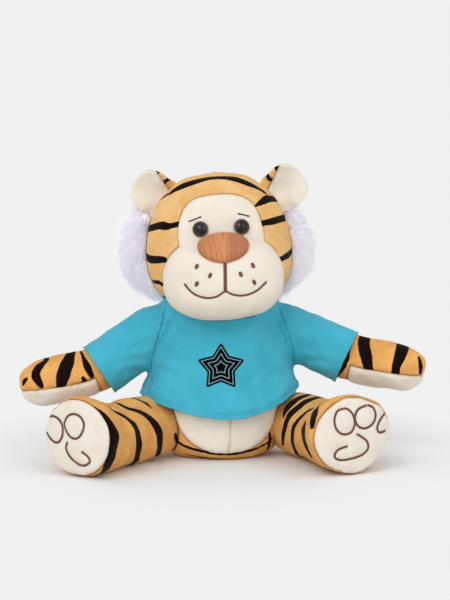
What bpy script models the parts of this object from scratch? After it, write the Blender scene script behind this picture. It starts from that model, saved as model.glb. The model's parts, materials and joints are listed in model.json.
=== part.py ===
"""Seated plush tiger in a T-shirt, built as its sewn panels, fillings, eyes and shirt.

Metres, +Z up, the toy looks along -Y. The origin is the middle of the seat, on the floor.
Left and right are the viewer's, as seen from the front.
"""

import math

import bmesh
import bpy
from mathutils import Matrix, Vector

# Fabric and clearances
PLUSH = 0.0022
JERSEY = 0.0012
SEAM_GAP = 0.0003
FILL_GAP = 0.0003
TURN_GAP = 0.0006
FLOOR_CUT = 0.0005
OVERRUN = 0.004
WELD = 0.000002

# Torso
TORSO_HALF_WIDTH = 0.045
TORSO_HALF_DEPTH = 0.036
TORSO_HEIGHT = 0.094
TORSO_YAW_DEG = 8.0
TORSO_PROFILE_SHARES = (
    (0.0, 1.0), (0.42, 0.985), (0.69, 0.92), (0.86, 0.77), (0.95, 0.57),
    (1.0, 0.34), (0.94, 0.14), (0.74, 0.03), (0.45, 0.0), (0.0, 0.0),
)
BELLY_WIDTH_SHARE = 0.711
BELLY_HEIGHT_SHARE = 0.404
BELLY_CENTRE_SHARE = 0.484
BELLY_SQUARE_SHARE = 0.17

# Limb thicknesses, as half widths against the torso's height
SHOULDER_THICKNESS_SHARE = 0.183
ARM_WAIST_SHARE = 0.1553
ARM_PAW_SHARE = 0.1681
SLEEVE_HEM_SHARE = 0.1894
LEG_ROOT_SHARE = 0.2234
LEG_CALF_SHARE = 0.2362
LEG_FOOT_SHARE = 0.2713

# Neck
NECK_X = 0.0002
NECK_Y = 0.004
NECK_RISE = 0.005
NECK_RADIUS = 0.018

# Head, measured from the neck's pivot
HEAD_HALF_WIDTH = 0.0475
HEAD_HALF_DEPTH = 0.041
HEAD_HEIGHT = 0.086
HEAD_FORWARD = 0.004
HEAD_YAW_DEG = 3.6
HEAD_ROLL_DEG = 3.0
HEAD_PROFILE_SHARES = (
    (0.0, 1.0), (0.42, 0.955), (0.64, 0.875), (0.80, 0.785), (0.93, 0.63),
    (0.99, 0.48), (1.0, 0.35), (0.96, 0.22), (0.83, 0.10), (0.52, 0.0), (0.0, 0.0),
)
FACE_HALF_WIDTH = 0.0268
FACE_HALF_HEIGHT = 0.028
FACE_CENTRE_SHARE = 0.523
FACE_SQUARE_SHARE = 0.286

# Muzzle and nose
MUZZLE_HALF_WIDTH = 0.0385
MUZZLE_HALF_DEPTH = 0.025
MUZZLE_HEIGHT_SHARE = 0.307
MUZZLE_FORWARD = 0.039
MUZZLE_CENTRE_SHARE = 0.230
MUZZLE_SQUARE_SHARE = 0.149
NOSE_HALF_WIDTH = 0.0160
NOSE_HALF_DEPTH = 0.0052
NOSE_HALF_HEIGHT = 0.0108
NOSE_FORWARD = 0.0162
NOSE_CENTRE_SHARE = 0.478
NOSE_TILT_DEG = 38.0
NOSE_SQUARE_SHARE = 0.09
NOSE_TAPER_SHARE = 0.12

# Eyes
EYE_RADIUS = 0.0051
EYE_DOME = 0.0040
EYE_RIM = 0.0006
EYE_STANDOFF = 0.0008
EYE_X = 0.0128
EYE_HEIGHT_SHARE = 0.605
SHANK_RADIUS = 0.0015
SHANK_LENGTH = 0.0105
WASHER_RADIUS = 0.0052
WASHER_THICKNESS = 0.0012
WASHER_DEPTH = 0.0055

# Ears
EAR_HALF_WIDTH = 0.0148
EAR_HALF_HEIGHT = 0.0160
EAR_HALF_THICKNESS = 0.0034
EAR_CENTRE_Z = 0.0050
EAR_SQUARE_SHARE = 0.2
EAR_CUP = 0.0045
EAR_SEAT_SHARES = (0.802, 0.767)
EAR_BACK = 0.006
EAR_OUTWARD_DEG = (28.0, 12.0)
EAR_LEAN_DEG = 42.0
EAR_FOLD_DEG = 15.0

# Cheek ruffs
RUFF_HALF_WIDTH = 0.0150
RUFF_HALF_DEPTH = 0.0130
RUFF_HEIGHT_SHARE = 0.290
RUFF_CENTRE_SHARE = 0.346
RUFF_BACK = 0.008
RUFF_OUT = 0.002
RUFF_SQUARE_SHARE = 0.09
RUFF_TUFT = 0.0008
RUFF_TUFT_COUNT = 9

# Arms and sleeves
SHOULDER_HEIGHT_SHARE = 0.851
SHOULDER_BACK = 0.001
SHOULDER_RADIUS = TORSO_HEIGHT * SHOULDER_THICKNESS_SHARE
ARM_LENGTH = 0.0935
ARM_WAIST_RADIUS = TORSO_HEIGHT * ARM_WAIST_SHARE
ARM_PAW_RADIUS = TORSO_HEIGHT * ARM_PAW_SHARE
ARM_ELBOW = 0.034
ARM_BEND_LENGTH = 0.024
ARM_FORWARD_DEG = 9.0
ARM_DROOP_DEG = (34.0, 24.0)
ARM_BEND_DEG = (25.0, 16.0)
ARM_RAISE_DEG = 35.0
ARM_LOWER_DEG = (3.0, 10.0)
ARM_CAP_DEG = 40.0
PAW_SHARES = ((0.0, 0.0), (0.55, 0.14), (0.92, 0.75), (1.0, 1.6))
PAW_CORE_SHARES = ((0.0, 0.0), (0.75, 0.35), (1.0, 1.5))
SHOULDER_CORE_SHARES = ((1.0, 0.0), (0.75, 0.66), (0.0, 1.0))
PALM_START = 0.046
PALM_DEPTH_SHARE = 0.12
SLEEVE_LENGTH = 0.0420
SLEEVE_HEM_RADIUS = TORSO_HEIGHT * SLEEVE_HEM_SHARE
SLEEVE_MOUTH_DEG = 46.0
LOWERED_ROOM_SHARES = ((1.0, 0.25), (0.8, 0.0), (0.0, 0.0))

# Legs
HIP_ANGLE_DEG = 77.0
LEG_ROOT_RADIUS = TORSO_HEIGHT * LEG_ROOT_SHARE
LEG_CALF_RADIUS = TORSO_HEIGHT * LEG_CALF_SHARE
LEG_FOOT_RADIUS = TORSO_HEIGHT * LEG_FOOT_SHARE
LEG_LENGTH = 0.0745
SOLE_DOME = 0.0035
SOLE_DEPTH = 0.0060
SOLE_SHARES = ((0.0, 1.0), (0.5, 0.75), (0.9, -0.2))
FOOT_SHARES = ((1.0, 0.32), (0.95, 0.8))
CALF_SHARE = 0.45
LEG_YAW_DEG = (36.0, 27.0)
LEG_IN_DEG = 12.0
LEG_ROOM_SHARES = ((1.0, 0.22), (0.8, 0.0), (0.0, 0.0))

# Tail
TAIL_RADIUS = 0.0065
TAIL_LENGTH = 0.072
TAIL_SEAT_Z = 0.0125
TAIL_STRAIGHT = 0.010
TAIL_BEND_LENGTH = 0.050
TAIL_BEND_DEG = 75.0
TAIL_DROOP_DEG = 4.0
TAIL_SWING_DEG = 25.0
TAIL_TIP_SHARES = ((0.0, 0.0), (0.7, 0.3), (1.05, 1.3))
TAIL_MIDDLE_SHARES = (0.95, 0.5)

# Shirt body
SHIRT_EASE = 0.0016
SHIRT_FLARE = 0.0060
SHIRT_HEM_SHARES = (0.335, 0.505, 0.351)
SHIRT_NECK_SHARES = (0.910, 0.973, 0.947)
SHIRT_FOLD = 0.0008
SHIRT_FOLD_COUNT = 8
SHIRT_ROW_SHARES = (0.0, 0.22, 0.45, 0.65, 0.8, 0.9, 1.0)

# Mesh resolution
ROUND_STEPS = 22
LIMB_STEPS = 18
CORE_STEPS = 16
INNER_STEPS = 12
BALL_STEPS = 20
ARC_STEPS = 4
SMOOTH_STEPS = 2
BOX_CUTS = 3
EYE_STEPS = 12

SIDES = ((0, -1, "left"), (1, 1, "right"))

COLOURS = {
    "orange_plush": ((0.72, 0.39, 0.13, 1.0), 0.9),
    "cream_plush": ((0.86, 0.80, 0.70, 1.0), 0.9),
    "white_fur": ((0.82, 0.81, 0.88, 1.0), 0.95),
    "turquoise_jersey": ((0.055, 0.47, 0.61, 1.0), 0.85),
    "brown_thread": ((0.42, 0.17, 0.07, 1.0), 0.5),
    "eye_plastic": ((0.02, 0.012, 0.01, 1.0), 0.08),
    "washer_plastic": ((0.75, 0.75, 0.72, 1.0), 0.4),
    "polyester_fibre": ((0.9, 0.9, 0.9, 1.0), 1.0),
}


# Scene and object helpers

def clear_scene():
    for obj in list(bpy.data.objects):
        bpy.data.objects.remove(obj)


def make_collection(name):
    collection = bpy.data.collections.new(name)
    bpy.context.scene.collection.children.link(collection)
    return collection


def make_materials():
    made = {}
    for name, (colour, roughness) in COLOURS.items():
        material = bpy.data.materials.new(name)
        material.use_nodes = True
        shader = material.node_tree.nodes["Principled BSDF"]
        shader.inputs["Base Color"].default_value = colour
        shader.inputs["Roughness"].default_value = roughness
        shader.inputs["Metallic"].default_value = 0.0
        material.diffuse_color = colour
        made[name] = material
    return made


def make_empty(name, matrix, parent=None):
    """An empty at a joint, or at the head or torso, that its pieces are parented to."""
    empty = bpy.data.objects.new(name, None)
    TIGER.objects.link(empty)
    if parent is not None:
        empty.parent = parent
    empty.matrix_basis = matrix
    bpy.context.view_layer.update()
    return empty


def make_helper(name, mesh, parent):
    """A cutter, or the plain form that panels are cut from. It isn't part of the toy."""
    obj = bpy.data.objects.new(name, mesh)
    CONSTRUCTION.objects.link(obj)
    obj.parent = parent
    obj.hide_render = True
    obj.display_type = "WIRE"
    return obj


def make_piece(name, mesh, material, parent):
    obj = bpy.data.objects.new(name, mesh)
    TIGER.objects.link(obj)
    obj.parent = parent
    obj.data.materials.clear()
    obj.data.materials.append(MATERIALS[material])
    obj.data.shade_smooth()
    return obj


def clean_mesh(mesh):
    """Welds a closed mesh, points its faces outwards and splits them into flat triangles."""
    cage = bmesh.new()
    cage.from_mesh(mesh)
    bmesh.ops.remove_doubles(cage, verts=cage.verts, dist=WELD)
    bmesh.ops.recalc_face_normals(cage, faces=cage.faces)
    bmesh.ops.triangulate(cage, faces=cage.faces)
    cage.to_mesh(mesh)
    cage.free()
    return mesh


def evaluated_mesh(obj):
    """The object's mesh with its modifiers applied, in its own space."""
    bpy.context.view_layer.update()
    graph = bpy.context.evaluated_depsgraph_get()
    return bpy.data.meshes.new_from_object(obj.evaluated_get(graph))


def combine(obj, other, operation):
    modifier = obj.modifiers.new(operation.title(), "BOOLEAN")
    modifier.operation = operation
    modifier.solver = "EXACT"
    modifier.object = other


def cut_piece(name, form, kept, removed, material, parent):
    """A panel or filling: the form's mesh, inside every kept helper and outside every removed one."""
    obj = make_piece(name, clean_mesh(form.data.copy()), material, parent)
    for helper in kept:
        combine(obj, helper, "INTERSECT")
    for helper in removed:
        combine(obj, helper, "DIFFERENCE")
    mesh = evaluated_mesh(obj)
    obj.modifiers.clear()
    obj.data = mesh
    mesh.shade_smooth()
    return obj


def warp(mesh, shape):
    for vertex in mesh.vertices:
        vertex.co = shape(vertex.co)
    mesh.update()


# Profiles and primitive forms

def smooth_line(points, steps):
    """A Catmull-Rom line through the points, with no radius below zero."""
    line = []
    last = len(points) - 1
    for i in range(last):
        before, start = points[max(i - 1, 0)], points[i]
        end, after = points[i + 1], points[min(i + 2, last)]
        for k in range(steps):
            t = k / steps
            place = []
            for a, b, c, d in zip(before, start, end, after):
                curve = 2 * b + (c - a) * t
                curve += (2 * a - 5 * b + 4 * c - d) * t ** 2
                curve += (3 * b - a - 3 * c + d) * t ** 3
                place.append(curve / 2)
            line.append((max(place[0], 0.0), place[1]))
    line.append(points[last])
    return line


def radius_at(profile, height):
    """The profile's radius at a height, on a profile that runs from its top down."""
    for (upper_r, upper_z), (lower_r, lower_z) in zip(profile, profile[1:]):
        if lower_z <= height <= upper_z and upper_z > lower_z:
            share = (height - lower_z) / (upper_z - lower_z)
            return lower_r + (upper_r - lower_r) * share
    return 0.0


def scaled_profile(shares, radius, bottom, top):
    """A share table at its real size. Hollows and fillings, which are inset, keep its points alone."""
    return [(r * radius, bottom + z * (top - bottom)) for r, z in shares]


def ball_arc(radius, first, last):
    """Points round a ball at the bottom of a profile, between two angles from its top."""
    line = []
    for k in range(1, ARC_STEPS + 1):
        turn = first + (last - first) * k / ARC_STEPS
        line.append((max(radius * math.sin(turn), 0.0), radius * math.cos(turn)))
    return line


def turned_mesh(name, profile, sides, loop=False):
    """A profile of (radius, height) points turned about Z. A loop is closed on itself, as a ring is."""
    mesh = bpy.data.meshes.new(name)
    points = [(r, 0.0, z) for r, z in profile]
    edges = [(i, i + 1) for i in range(len(points) - 1)]
    if loop:
        edges.append((len(points) - 1, 0))
    mesh.from_pydata(points, edges, [])
    obj = make_helper(name, mesh, None)
    screw = obj.modifiers.new("Turn", "SCREW")
    screw.axis = "Z"
    screw.steps = sides
    screw.render_steps = sides
    screw.use_merge_vertices = True
    screw.merge_threshold = WELD
    turned = clean_mesh(evaluated_mesh(obj))
    bpy.data.objects.remove(obj)
    return turned


def blob_mesh(name, half_sizes, square, segments, rings):
    """A puffed form. Its square share runs from a ball at 0 towards a box at 1."""
    power = 2.0 / (1.0 - square)
    mesh = bpy.data.meshes.new(name)
    ball = bmesh.new()
    bmesh.ops.create_uvsphere(ball, u_segments=segments, v_segments=rings, radius=1.0)
    for vertex in ball.verts:
        reach = sum(abs(c) ** power for c in vertex.co) ** (-1.0 / power)
        vertex.co = Vector(c * reach * size for c, size in zip(vertex.co, half_sizes))
    ball.to_mesh(mesh)
    ball.free()
    return mesh


def prism_mesh(name, half_width, half_height, square, near, far, segments=ROUND_STEPS):
    """A rounded outline in X and Z, carried from near to far along Y."""
    power = 2.0 / (1.0 - square)
    mesh = bpy.data.meshes.new(name)
    drum = bmesh.new()
    bmesh.ops.create_cone(
        drum, cap_ends=True, segments=segments, radius1=1.0, radius2=1.0, depth=1.0
    )
    for vertex in drum.verts:
        x, z, end = vertex.co
        reach = (abs(x) ** power + abs(z) ** power) ** (-1.0 / power)
        side = near if end < 0 else far
        vertex.co = Vector((x * reach * half_width, side, z * reach * half_height))
    drum.to_mesh(mesh)
    drum.free()
    return clean_mesh(mesh)


def box_mesh(name, low, high):
    mesh = bpy.data.meshes.new(name)
    cube = bmesh.new()
    bmesh.ops.create_cube(cube, size=1.0)
    for vertex in cube.verts:
        vertex.co = Vector(
            lo if c < 0 else hi for c, lo, hi in zip(vertex.co, low, high)
        )
    cube.to_mesh(mesh)
    cube.free()
    return mesh


def clear_of(radius):
    """The radius of a faceted ball whose flats stand clear of a true ball of this radius."""
    return radius / math.cos(math.pi / BALL_STEPS) ** 2


def bendable_box(name, low, high, shape):
    """A box divided finely enough to follow a bent form, and bent with it."""
    mesh = box_mesh(name, low, high)
    grid = bmesh.new()
    grid.from_mesh(mesh)
    bmesh.ops.subdivide_edges(grid, edges=grid.edges, cuts=BOX_CUTS, use_grid_fill=True)
    grid.to_mesh(mesh)
    grid.free()
    warp(mesh, shape)
    return clean_mesh(mesh)


def ball_helper(name, radius, parent):
    size = clear_of(radius)
    mesh = blob_mesh(name, (size, size, size), 0.0, BALL_STEPS, BALL_STEPS // 2)
    return make_helper(name, mesh, parent)


def moved(mesh, offset):
    mesh.transform(Matrix.Translation(offset))
    return mesh


def bent(start, length, angle):
    """Bends a straight form that lies along Z towards +X, over a length from a start."""
    radius = length / angle if angle else 0.0

    def shape(point):
        along = point.z - start
        if along <= 0 or not angle:
            return point
        turned_by = min(along, length) / radius
        beyond = max(along - length, 0.0)
        across = radius - point.x
        return Vector((
            radius - across * math.cos(turned_by) + beyond * math.sin(turned_by),
            point.y,
            start + across * math.sin(turned_by) + beyond * math.cos(turned_by),
        ))

    return shape


# Torso

def torso_profile(inset):
    """The torso's half width by height, from the neck down, taken in by an inset."""
    shares = TORSO_PROFILE_SHARES if inset else smooth_line(TORSO_PROFILE_SHARES, SMOOTH_STEPS)
    return scaled_profile(
        shares, TORSO_HALF_WIDTH - inset, inset - FLOOR_CUT, TORSO_HEIGHT - inset
    )


def torso_form(name, inset, sides):
    mesh = turned_mesh(name, torso_profile(inset), sides)
    squeeze = (TORSO_HALF_DEPTH - inset) / (TORSO_HALF_WIDTH - inset)
    mesh.transform(Matrix.Diagonal((1.0, squeeze, 1.0, 1.0)))
    return mesh


def torso_surface(angle_deg, height):
    """A point on the torso in its own frame, and the way out. Angle 0 is the front."""
    width = radius_at(torso_profile(0.0), height)
    depth = width * TORSO_HALF_DEPTH / TORSO_HALF_WIDTH
    angle = math.radians(angle_deg)
    along = Vector((math.sin(angle), -math.cos(angle), 0.0))
    reach = 1.0 / math.hypot(along.x / width, along.y / depth)
    point = along * reach
    outward = Vector((point.x / width ** 2, point.y / depth ** 2, 0.0)).normalized()
    point.z = height
    return point, outward


def belly_prism(name, grow):
    half_width = TORSO_HALF_WIDTH * BELLY_WIDTH_SHARE + grow
    half_height = TORSO_HEIGHT * BELLY_HEIGHT_SHARE + grow
    mesh = prism_mesh(
        name, half_width, half_height, BELLY_SQUARE_SHARE, -TORSO_HALF_DEPTH - OVERRUN, 0.0,
        ROUND_STEPS + INNER_STEPS,
    )
    return make_helper(name, moved(mesh, (0.0, 0.0, TORSO_HEIGHT * BELLY_CENTRE_SHARE)), TORSO)


def build_torso(sockets):
    outer = make_helper("torso_form", torso_form("torso_form", 0.0, ROUND_STEPS), TORSO)
    hollow = make_helper("torso_hollow", torso_form("torso_hollow", PLUSH, CORE_STEPS), TORSO)
    filling = make_helper(
        "torso_filling_form", torso_form("torso_filling_form", PLUSH + FILL_GAP, CORE_STEPS), TORSO
    )
    seam = SEAM_GAP / 2
    reach = TORSO_HALF_WIDTH + OVERRUN
    top = TORSO_HEIGHT + OVERRUN
    opening = belly_prism("belly_opening", seam)
    outline = belly_prism("belly_outline", -seam)
    cut_piece("back_cover", outer, [], [hollow, opening, FLOOR] + sockets, "orange_plush", TORSO)
    for label, low_x, high_x in (("left", -reach, -seam), ("right", seam, reach)):
        name = label + "_belly_panel"
        box = box_mesh(name + "_half", (low_x, -reach, -OVERRUN), (high_x, 0.0, top))
        half = make_helper(name + "_half", box, TORSO)
        cut_piece(name, outer, [outline, half], [hollow] + sockets, "cream_plush", TORSO)
    cut_piece("torso_filling", filling, [], sockets, "polyester_fibre", TORSO)


# Shirt body

def shirt_height(shares, angle):
    """A height that runs smoothly from the front round the side to the back."""
    front, side, back = (share * TORSO_HEIGHT for share in shares)
    along = math.cos(angle)
    end = front if along > 0 else back
    return side + (end - side) * along ** 2


def shirt_level(share):
    """The height in the torso that a share of the shirt's height is drawn at."""
    low, high = SHIRT_HEM_SHARES[0], SHIRT_NECK_SHARES[1]
    return TORSO_HEIGHT * (low + share * (high - low))


def shirt_wall(stand_off):
    """The shirt's half width from hem to neck, as (radius, share of its height)."""
    torso = torso_profile(0.0)
    wall = []
    for share in SHIRT_ROW_SHARES:
        height = shirt_level(share)
        flare = SHIRT_FLARE * (1.0 - share) ** 2
        wall.append((radius_at(torso, height) + SHIRT_EASE + flare + stand_off, share))
    return wall


def shirt_shape(point):
    """Puts a turned shirt point, whose Z is a share of the height, at its real place."""
    angle = math.atan2(point.x, -point.y)
    share = point.z
    hem = shirt_height(SHIRT_HEM_SHARES, angle)
    neck = shirt_height(SHIRT_NECK_SHARES, angle)
    height = hem + share * (neck - hem)
    base = math.hypot(point.x, point.y)
    torso = torso_profile(0.0)
    radius = base + radius_at(torso, height) - radius_at(torso, shirt_level(share))
    radius += SHIRT_FOLD * math.cos(SHIRT_FOLD_COUNT * angle) * (1.0 - share) ** 2
    depth = radius * TORSO_HALF_DEPTH / TORSO_HALF_WIDTH
    ease = SHIRT_EASE * (1.0 - TORSO_HALF_DEPTH / TORSO_HALF_WIDTH)
    return Vector((radius * math.sin(angle), -(depth + ease) * math.cos(angle), height))


def build_shirt(armholes):
    inner = shirt_wall(0.0)
    outer = shirt_wall(JERSEY)
    mesh = turned_mesh("shirt_form", list(reversed(outer)) + inner, 2 * LIMB_STEPS, loop=True)
    warp(mesh, shirt_shape)
    form = make_helper("shirt_form", mesh, TORSO)
    reach = TORSO_HALF_WIDTH + SHIRT_FLARE + OVERRUN + JERSEY
    top = TORSO_HEIGHT + OVERRUN
    seam = SEAM_GAP / 2
    front = box_mesh("shirt_front_half", (-reach, -reach, 0.0), (reach, -seam, top))
    back = box_mesh("shirt_back_half", (-reach, seam, 0.0), (reach, reach, top))
    halves = {
        "shirt_front": make_helper("shirt_front_half", front, TORSO),
        "shirt_back": make_helper("shirt_back_half", back, TORSO),
    }
    for name, half in halves.items():
        cut_piece(name, form, [half], armholes, "turquoise_jersey", TORSO)


# Head

def head_profile(inset):
    shares = HEAD_PROFILE_SHARES if inset > 0 else smooth_line(HEAD_PROFILE_SHARES, SMOOTH_STEPS)
    return scaled_profile(shares, HEAD_HALF_WIDTH - inset, inset, HEAD_HEIGHT - inset)


def head_form(name, inset, sides):
    mesh = turned_mesh(name, head_profile(inset), sides)
    squeeze = (HEAD_HALF_DEPTH - inset) / (HEAD_HALF_WIDTH - inset)
    mesh.transform(Matrix.Diagonal((1.0, squeeze, 1.0, 1.0)))
    return moved(mesh, (0.0, -HEAD_FORWARD, 0.0))


def head_value(point):
    """Below 1 inside the head and above 1 outside it, in the head's frame."""
    width = max(radius_at(head_profile(0.0), point.z), WELD)
    depth = width * HEAD_HALF_DEPTH / HEAD_HALF_WIDTH
    return math.hypot(point.x / width, (point.y + HEAD_FORWARD) / depth)


def head_normal(point):
    step = SEAM_GAP
    slopes = []
    for axis in (Vector((step, 0, 0)), Vector((0, step, 0)), Vector((0, 0, step))):
        slopes.append(head_value(point + axis) - head_value(point - axis))
    return Vector(slopes).normalized()


def face_point(x, z):
    """The point on the front of the head at x and z, and the way out."""
    width = radius_at(head_profile(0.0), z)
    depth = width * HEAD_HALF_DEPTH / HEAD_HALF_WIDTH
    y = -depth * math.sqrt(1.0 - (x / width) ** 2) - HEAD_FORWARD
    point = Vector((x, y, z))
    return point, head_normal(point)


def frame_matrix(origin, out, up):
    """A frame at the origin whose Z runs out and whose X lies as near as it can to up."""
    z = out.normalized()
    x = (up - up.dot(z) * z).normalized()
    y = z.cross(x)
    rotation = Matrix((x, y, z)).transposed().to_4x4()
    return Matrix.Translation(origin) @ rotation


def face_prism(name, grow):
    mesh = prism_mesh(
        name, FACE_HALF_WIDTH + grow, FACE_HALF_HEIGHT + grow, FACE_SQUARE_SHARE,
        -HEAD_HALF_DEPTH - HEAD_FORWARD - OVERRUN, -HEAD_FORWARD,
    )
    return make_helper(name, moved(mesh, (0.0, 0.0, HEAD_HEIGHT * FACE_CENTRE_SHARE)), HEAD)


def muzzle_form(name, grow, segments, rings):
    half_height = HEAD_HEIGHT * MUZZLE_HEIGHT_SHARE
    sizes = (MUZZLE_HALF_WIDTH + grow, MUZZLE_HALF_DEPTH + grow, half_height + grow)
    mesh = blob_mesh(name, sizes, MUZZLE_SQUARE_SHARE, segments, rings)
    return make_helper(name, moved(mesh, (0.0, -MUZZLE_FORWARD, HEAD_HEIGHT * MUZZLE_CENTRE_SHARE)), HEAD)


def build_head(neck_socket, ear_grooves, eye_shafts):
    outer = make_helper("head_form", head_form("head_form", 0.0, ROUND_STEPS), HEAD)
    hollow = make_helper("head_hollow", head_form("head_hollow", PLUSH, CORE_STEPS), HEAD)
    filling = make_helper(
        "head_filling_form", head_form("head_filling_form", PLUSH + FILL_GAP, CORE_STEPS), HEAD
    )
    seam = SEAM_GAP / 2
    opening = face_prism("face_opening", seam)
    outline = face_prism("face_outline", -seam)
    shafts = [shaft for shaft, _ in eye_shafts]
    wells = [well for _, well in eye_shafts]
    cut_piece(
        "crown_cover", outer, [], [hollow, opening, neck_socket] + ear_grooves, "orange_plush", HEAD
    )
    cut_piece("face_panel", outer, [outline], [hollow] + shafts, "cream_plush", HEAD)
    cut_piece(
        "head_filling", filling, [], [neck_socket] + ear_grooves + wells, "polyester_fibre", HEAD
    )


def build_muzzle():
    outer = muzzle_form("muzzle_form", 0.0, ROUND_STEPS, ROUND_STEPS // 2)
    hollow = muzzle_form("muzzle_hollow", -PLUSH, INNER_STEPS, INNER_STEPS // 2)
    filling = muzzle_form("muzzle_filling_form", -PLUSH - FILL_GAP, INNER_STEPS, INNER_STEPS // 2)
    backing = make_helper(
        "muzzle_backing", head_form("muzzle_backing", -SEAM_GAP, ROUND_STEPS), HEAD
    )
    cut_piece("muzzle_cover", outer, [], [hollow, backing], "cream_plush", HEAD)
    cut_piece("muzzle_filling", filling, [], [backing], "polyester_fibre", HEAD)
    skin = muzzle_form("nose_backing", SEAM_GAP, ROUND_STEPS, ROUND_STEPS // 2)
    sizes = (NOSE_HALF_WIDTH, NOSE_HALF_DEPTH, NOSE_HALF_HEIGHT)
    mesh = blob_mesh("nose_form", sizes, NOSE_SQUARE_SHARE, LIMB_STEPS, LIMB_STEPS // 2)
    for vertex in mesh.vertices:
        vertex.co.x *= 1.0 + NOSE_TAPER_SHARE * vertex.co.z / NOSE_HALF_HEIGHT
    mesh.transform(Matrix.Rotation(math.radians(-NOSE_TILT_DEG), 4, "X"))
    moved(mesh, (0.0, -MUZZLE_FORWARD - NOSE_FORWARD, HEAD_HEIGHT * NOSE_CENTRE_SHARE))
    pad = make_helper("nose_form", mesh, HEAD)
    cut_piece("nose", pad, [], [skin, backing], "brown_thread", HEAD)


def build_eye(side, label):
    """One safety eye and its washer. It returns the hole for the shank and the well in the filling."""
    point, out = face_point(side * EYE_X, HEAD_HEIGHT * EYE_HEIGHT_SHARE)
    origin = point + out * EYE_STANDOFF
    socket = make_empty(label + "_eye_socket", frame_matrix(origin, out, Vector((0, 0, 1))), HEAD)
    arc = INNER_STEPS // 2
    dome = []
    for k in range(arc + 1):
        turn = math.pi / 2 * k / arc
        dome.append((EYE_RADIUS * math.sin(turn), EYE_DOME * math.cos(turn)))
    shank = [(SHANK_RADIUS, -EYE_RIM), (SHANK_RADIUS, -SHANK_LENGTH), (0.0, -SHANK_LENGTH)]
    profile = dome + [(EYE_RADIUS, -EYE_RIM / 2), (EYE_RADIUS - EYE_RIM, -EYE_RIM)] + shank
    mesh = turned_mesh(label + "_eye", profile, EYE_STEPS)
    make_piece(label + "_eye", mesh, "eye_plastic", socket)
    bore = SHANK_RADIUS + SEAM_GAP
    low = -WASHER_DEPTH - WASHER_THICKNESS
    ring = [
        (WASHER_RADIUS, -WASHER_DEPTH), (WASHER_RADIUS, low), (bore, low), (bore, -WASHER_DEPTH)
    ]
    washer = turned_mesh(label + "_eye_washer", ring, EYE_STEPS, loop=True)
    make_piece(label + "_eye_washer", washer, "washer_plastic", socket)
    shaft = [(0.0, OVERRUN), (bore, OVERRUN), (bore, -SHANK_LENGTH), (0.0, -SHANK_LENGTH)]
    deep = -SHANK_LENGTH - FILL_GAP
    wide = WASHER_RADIUS + FILL_GAP
    well = [(0.0, OVERRUN), (wide, OVERRUN), (wide, deep), (0.0, deep)]
    return (
        make_helper(label + "_eye_shaft", turned_mesh(label + "_eye_shaft", shaft, EYE_STEPS), socket),
        make_helper(label + "_eye_well", turned_mesh(label + "_eye_well", well, EYE_STEPS), socket),
    )


def build_ruff(side, label):
    """A tuft of long pile down the side of the head, cut to the head behind it."""
    name = label + "_cheek_ruff"
    level = HEAD_HEIGHT * RUFF_CENTRE_SHARE
    out = side * (radius_at(head_profile(0.0), level) + RUFF_OUT)
    half_height = HEAD_HEIGHT * RUFF_HEIGHT_SHARE
    sizes = (RUFF_HALF_WIDTH, RUFF_HALF_DEPTH, half_height)
    mesh = blob_mesh(name, sizes, RUFF_SQUARE_SHARE, LIMB_STEPS, LIMB_STEPS)

    def tufted(point):
        share = point.z / half_height
        swell = RUFF_TUFT * math.cos(RUFF_TUFT_COUNT * math.pi * share)
        flat = math.hypot(point.x, point.y)
        grow = 1.0 + swell / (flat + RUFF_TUFT) * min(flat / RUFF_HALF_DEPTH, 1.0)
        return Vector((point.x * grow, point.y * grow, point.z))

    warp(mesh, tufted)
    form = make_helper(name + "_form", moved(mesh, (out, RUFF_BACK, level)), HEAD)
    backing = make_helper(
        name + "_backing", head_form(name + "_backing", -SEAM_GAP, ROUND_STEPS), HEAD
    )
    cut_piece(name, form, [], [backing], "white_fur", HEAD)


# Ears

def ear_matrix(index, side):
    """The ear's hinge line: Z runs out of the head and Y along the ear's base."""
    seat = HEAD_HEIGHT * EAR_SEAT_SHARES[index]
    width = radius_at(head_profile(0.0), seat)
    depth = width * HEAD_HALF_DEPTH / HEAD_HALF_WIDTH
    x = width * math.sqrt(1.0 - (EAR_BACK / depth) ** 2)
    point = Vector((side * x, EAR_BACK - HEAD_FORWARD, seat))
    lean = math.radians(EAR_LEAN_DEG)
    out = Vector((side * math.cos(lean), 0.0, math.sin(lean)))
    lift = EAR_HALF_THICKNESS * math.sin(math.radians(EAR_FOLD_DEG)) + TURN_GAP
    outward = math.radians(EAR_OUTWARD_DEG[index])
    facing = Vector((side * math.sin(outward), -math.cos(outward), 0.0))
    return frame_matrix(point + out * lift, out, facing)


def ear_cup(point):
    """Curls the ear's sides forward, more towards its tip."""
    rise = min(max(point.z / EAR_CENTRE_Z, 0.0), 1.0)
    return Vector((point.x + EAR_CUP * rise * (point.y / EAR_HALF_WIDTH) ** 2, point.y, point.z))


def ear_root(name, radius, top, half_length, parent):
    """A trough along the hinge line, with a round underside and sides that open up to a top."""
    outline = [(radius + OVERRUN, top), (-radius - OVERRUN, top)]
    for k in range(INNER_STEPS // 2 + 1):
        turn = math.pi * k / (INNER_STEPS // 2)
        outline.append((-radius * math.cos(turn), -radius * math.sin(turn)))
    trough = bmesh.new()
    near = [trough.verts.new((x, -half_length, z)) for x, z in outline]
    far = [trough.verts.new((x, half_length, z)) for x, z in outline]
    trough.faces.new(near)
    trough.faces.new(far)
    for k in range(len(outline)):
        trough.faces.new((near[k - 1], near[k], far[k], far[k - 1]))
    mesh = bpy.data.meshes.new(name)
    trough.to_mesh(mesh)
    trough.free()
    return make_helper(name, clean_mesh(mesh), parent)


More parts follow.
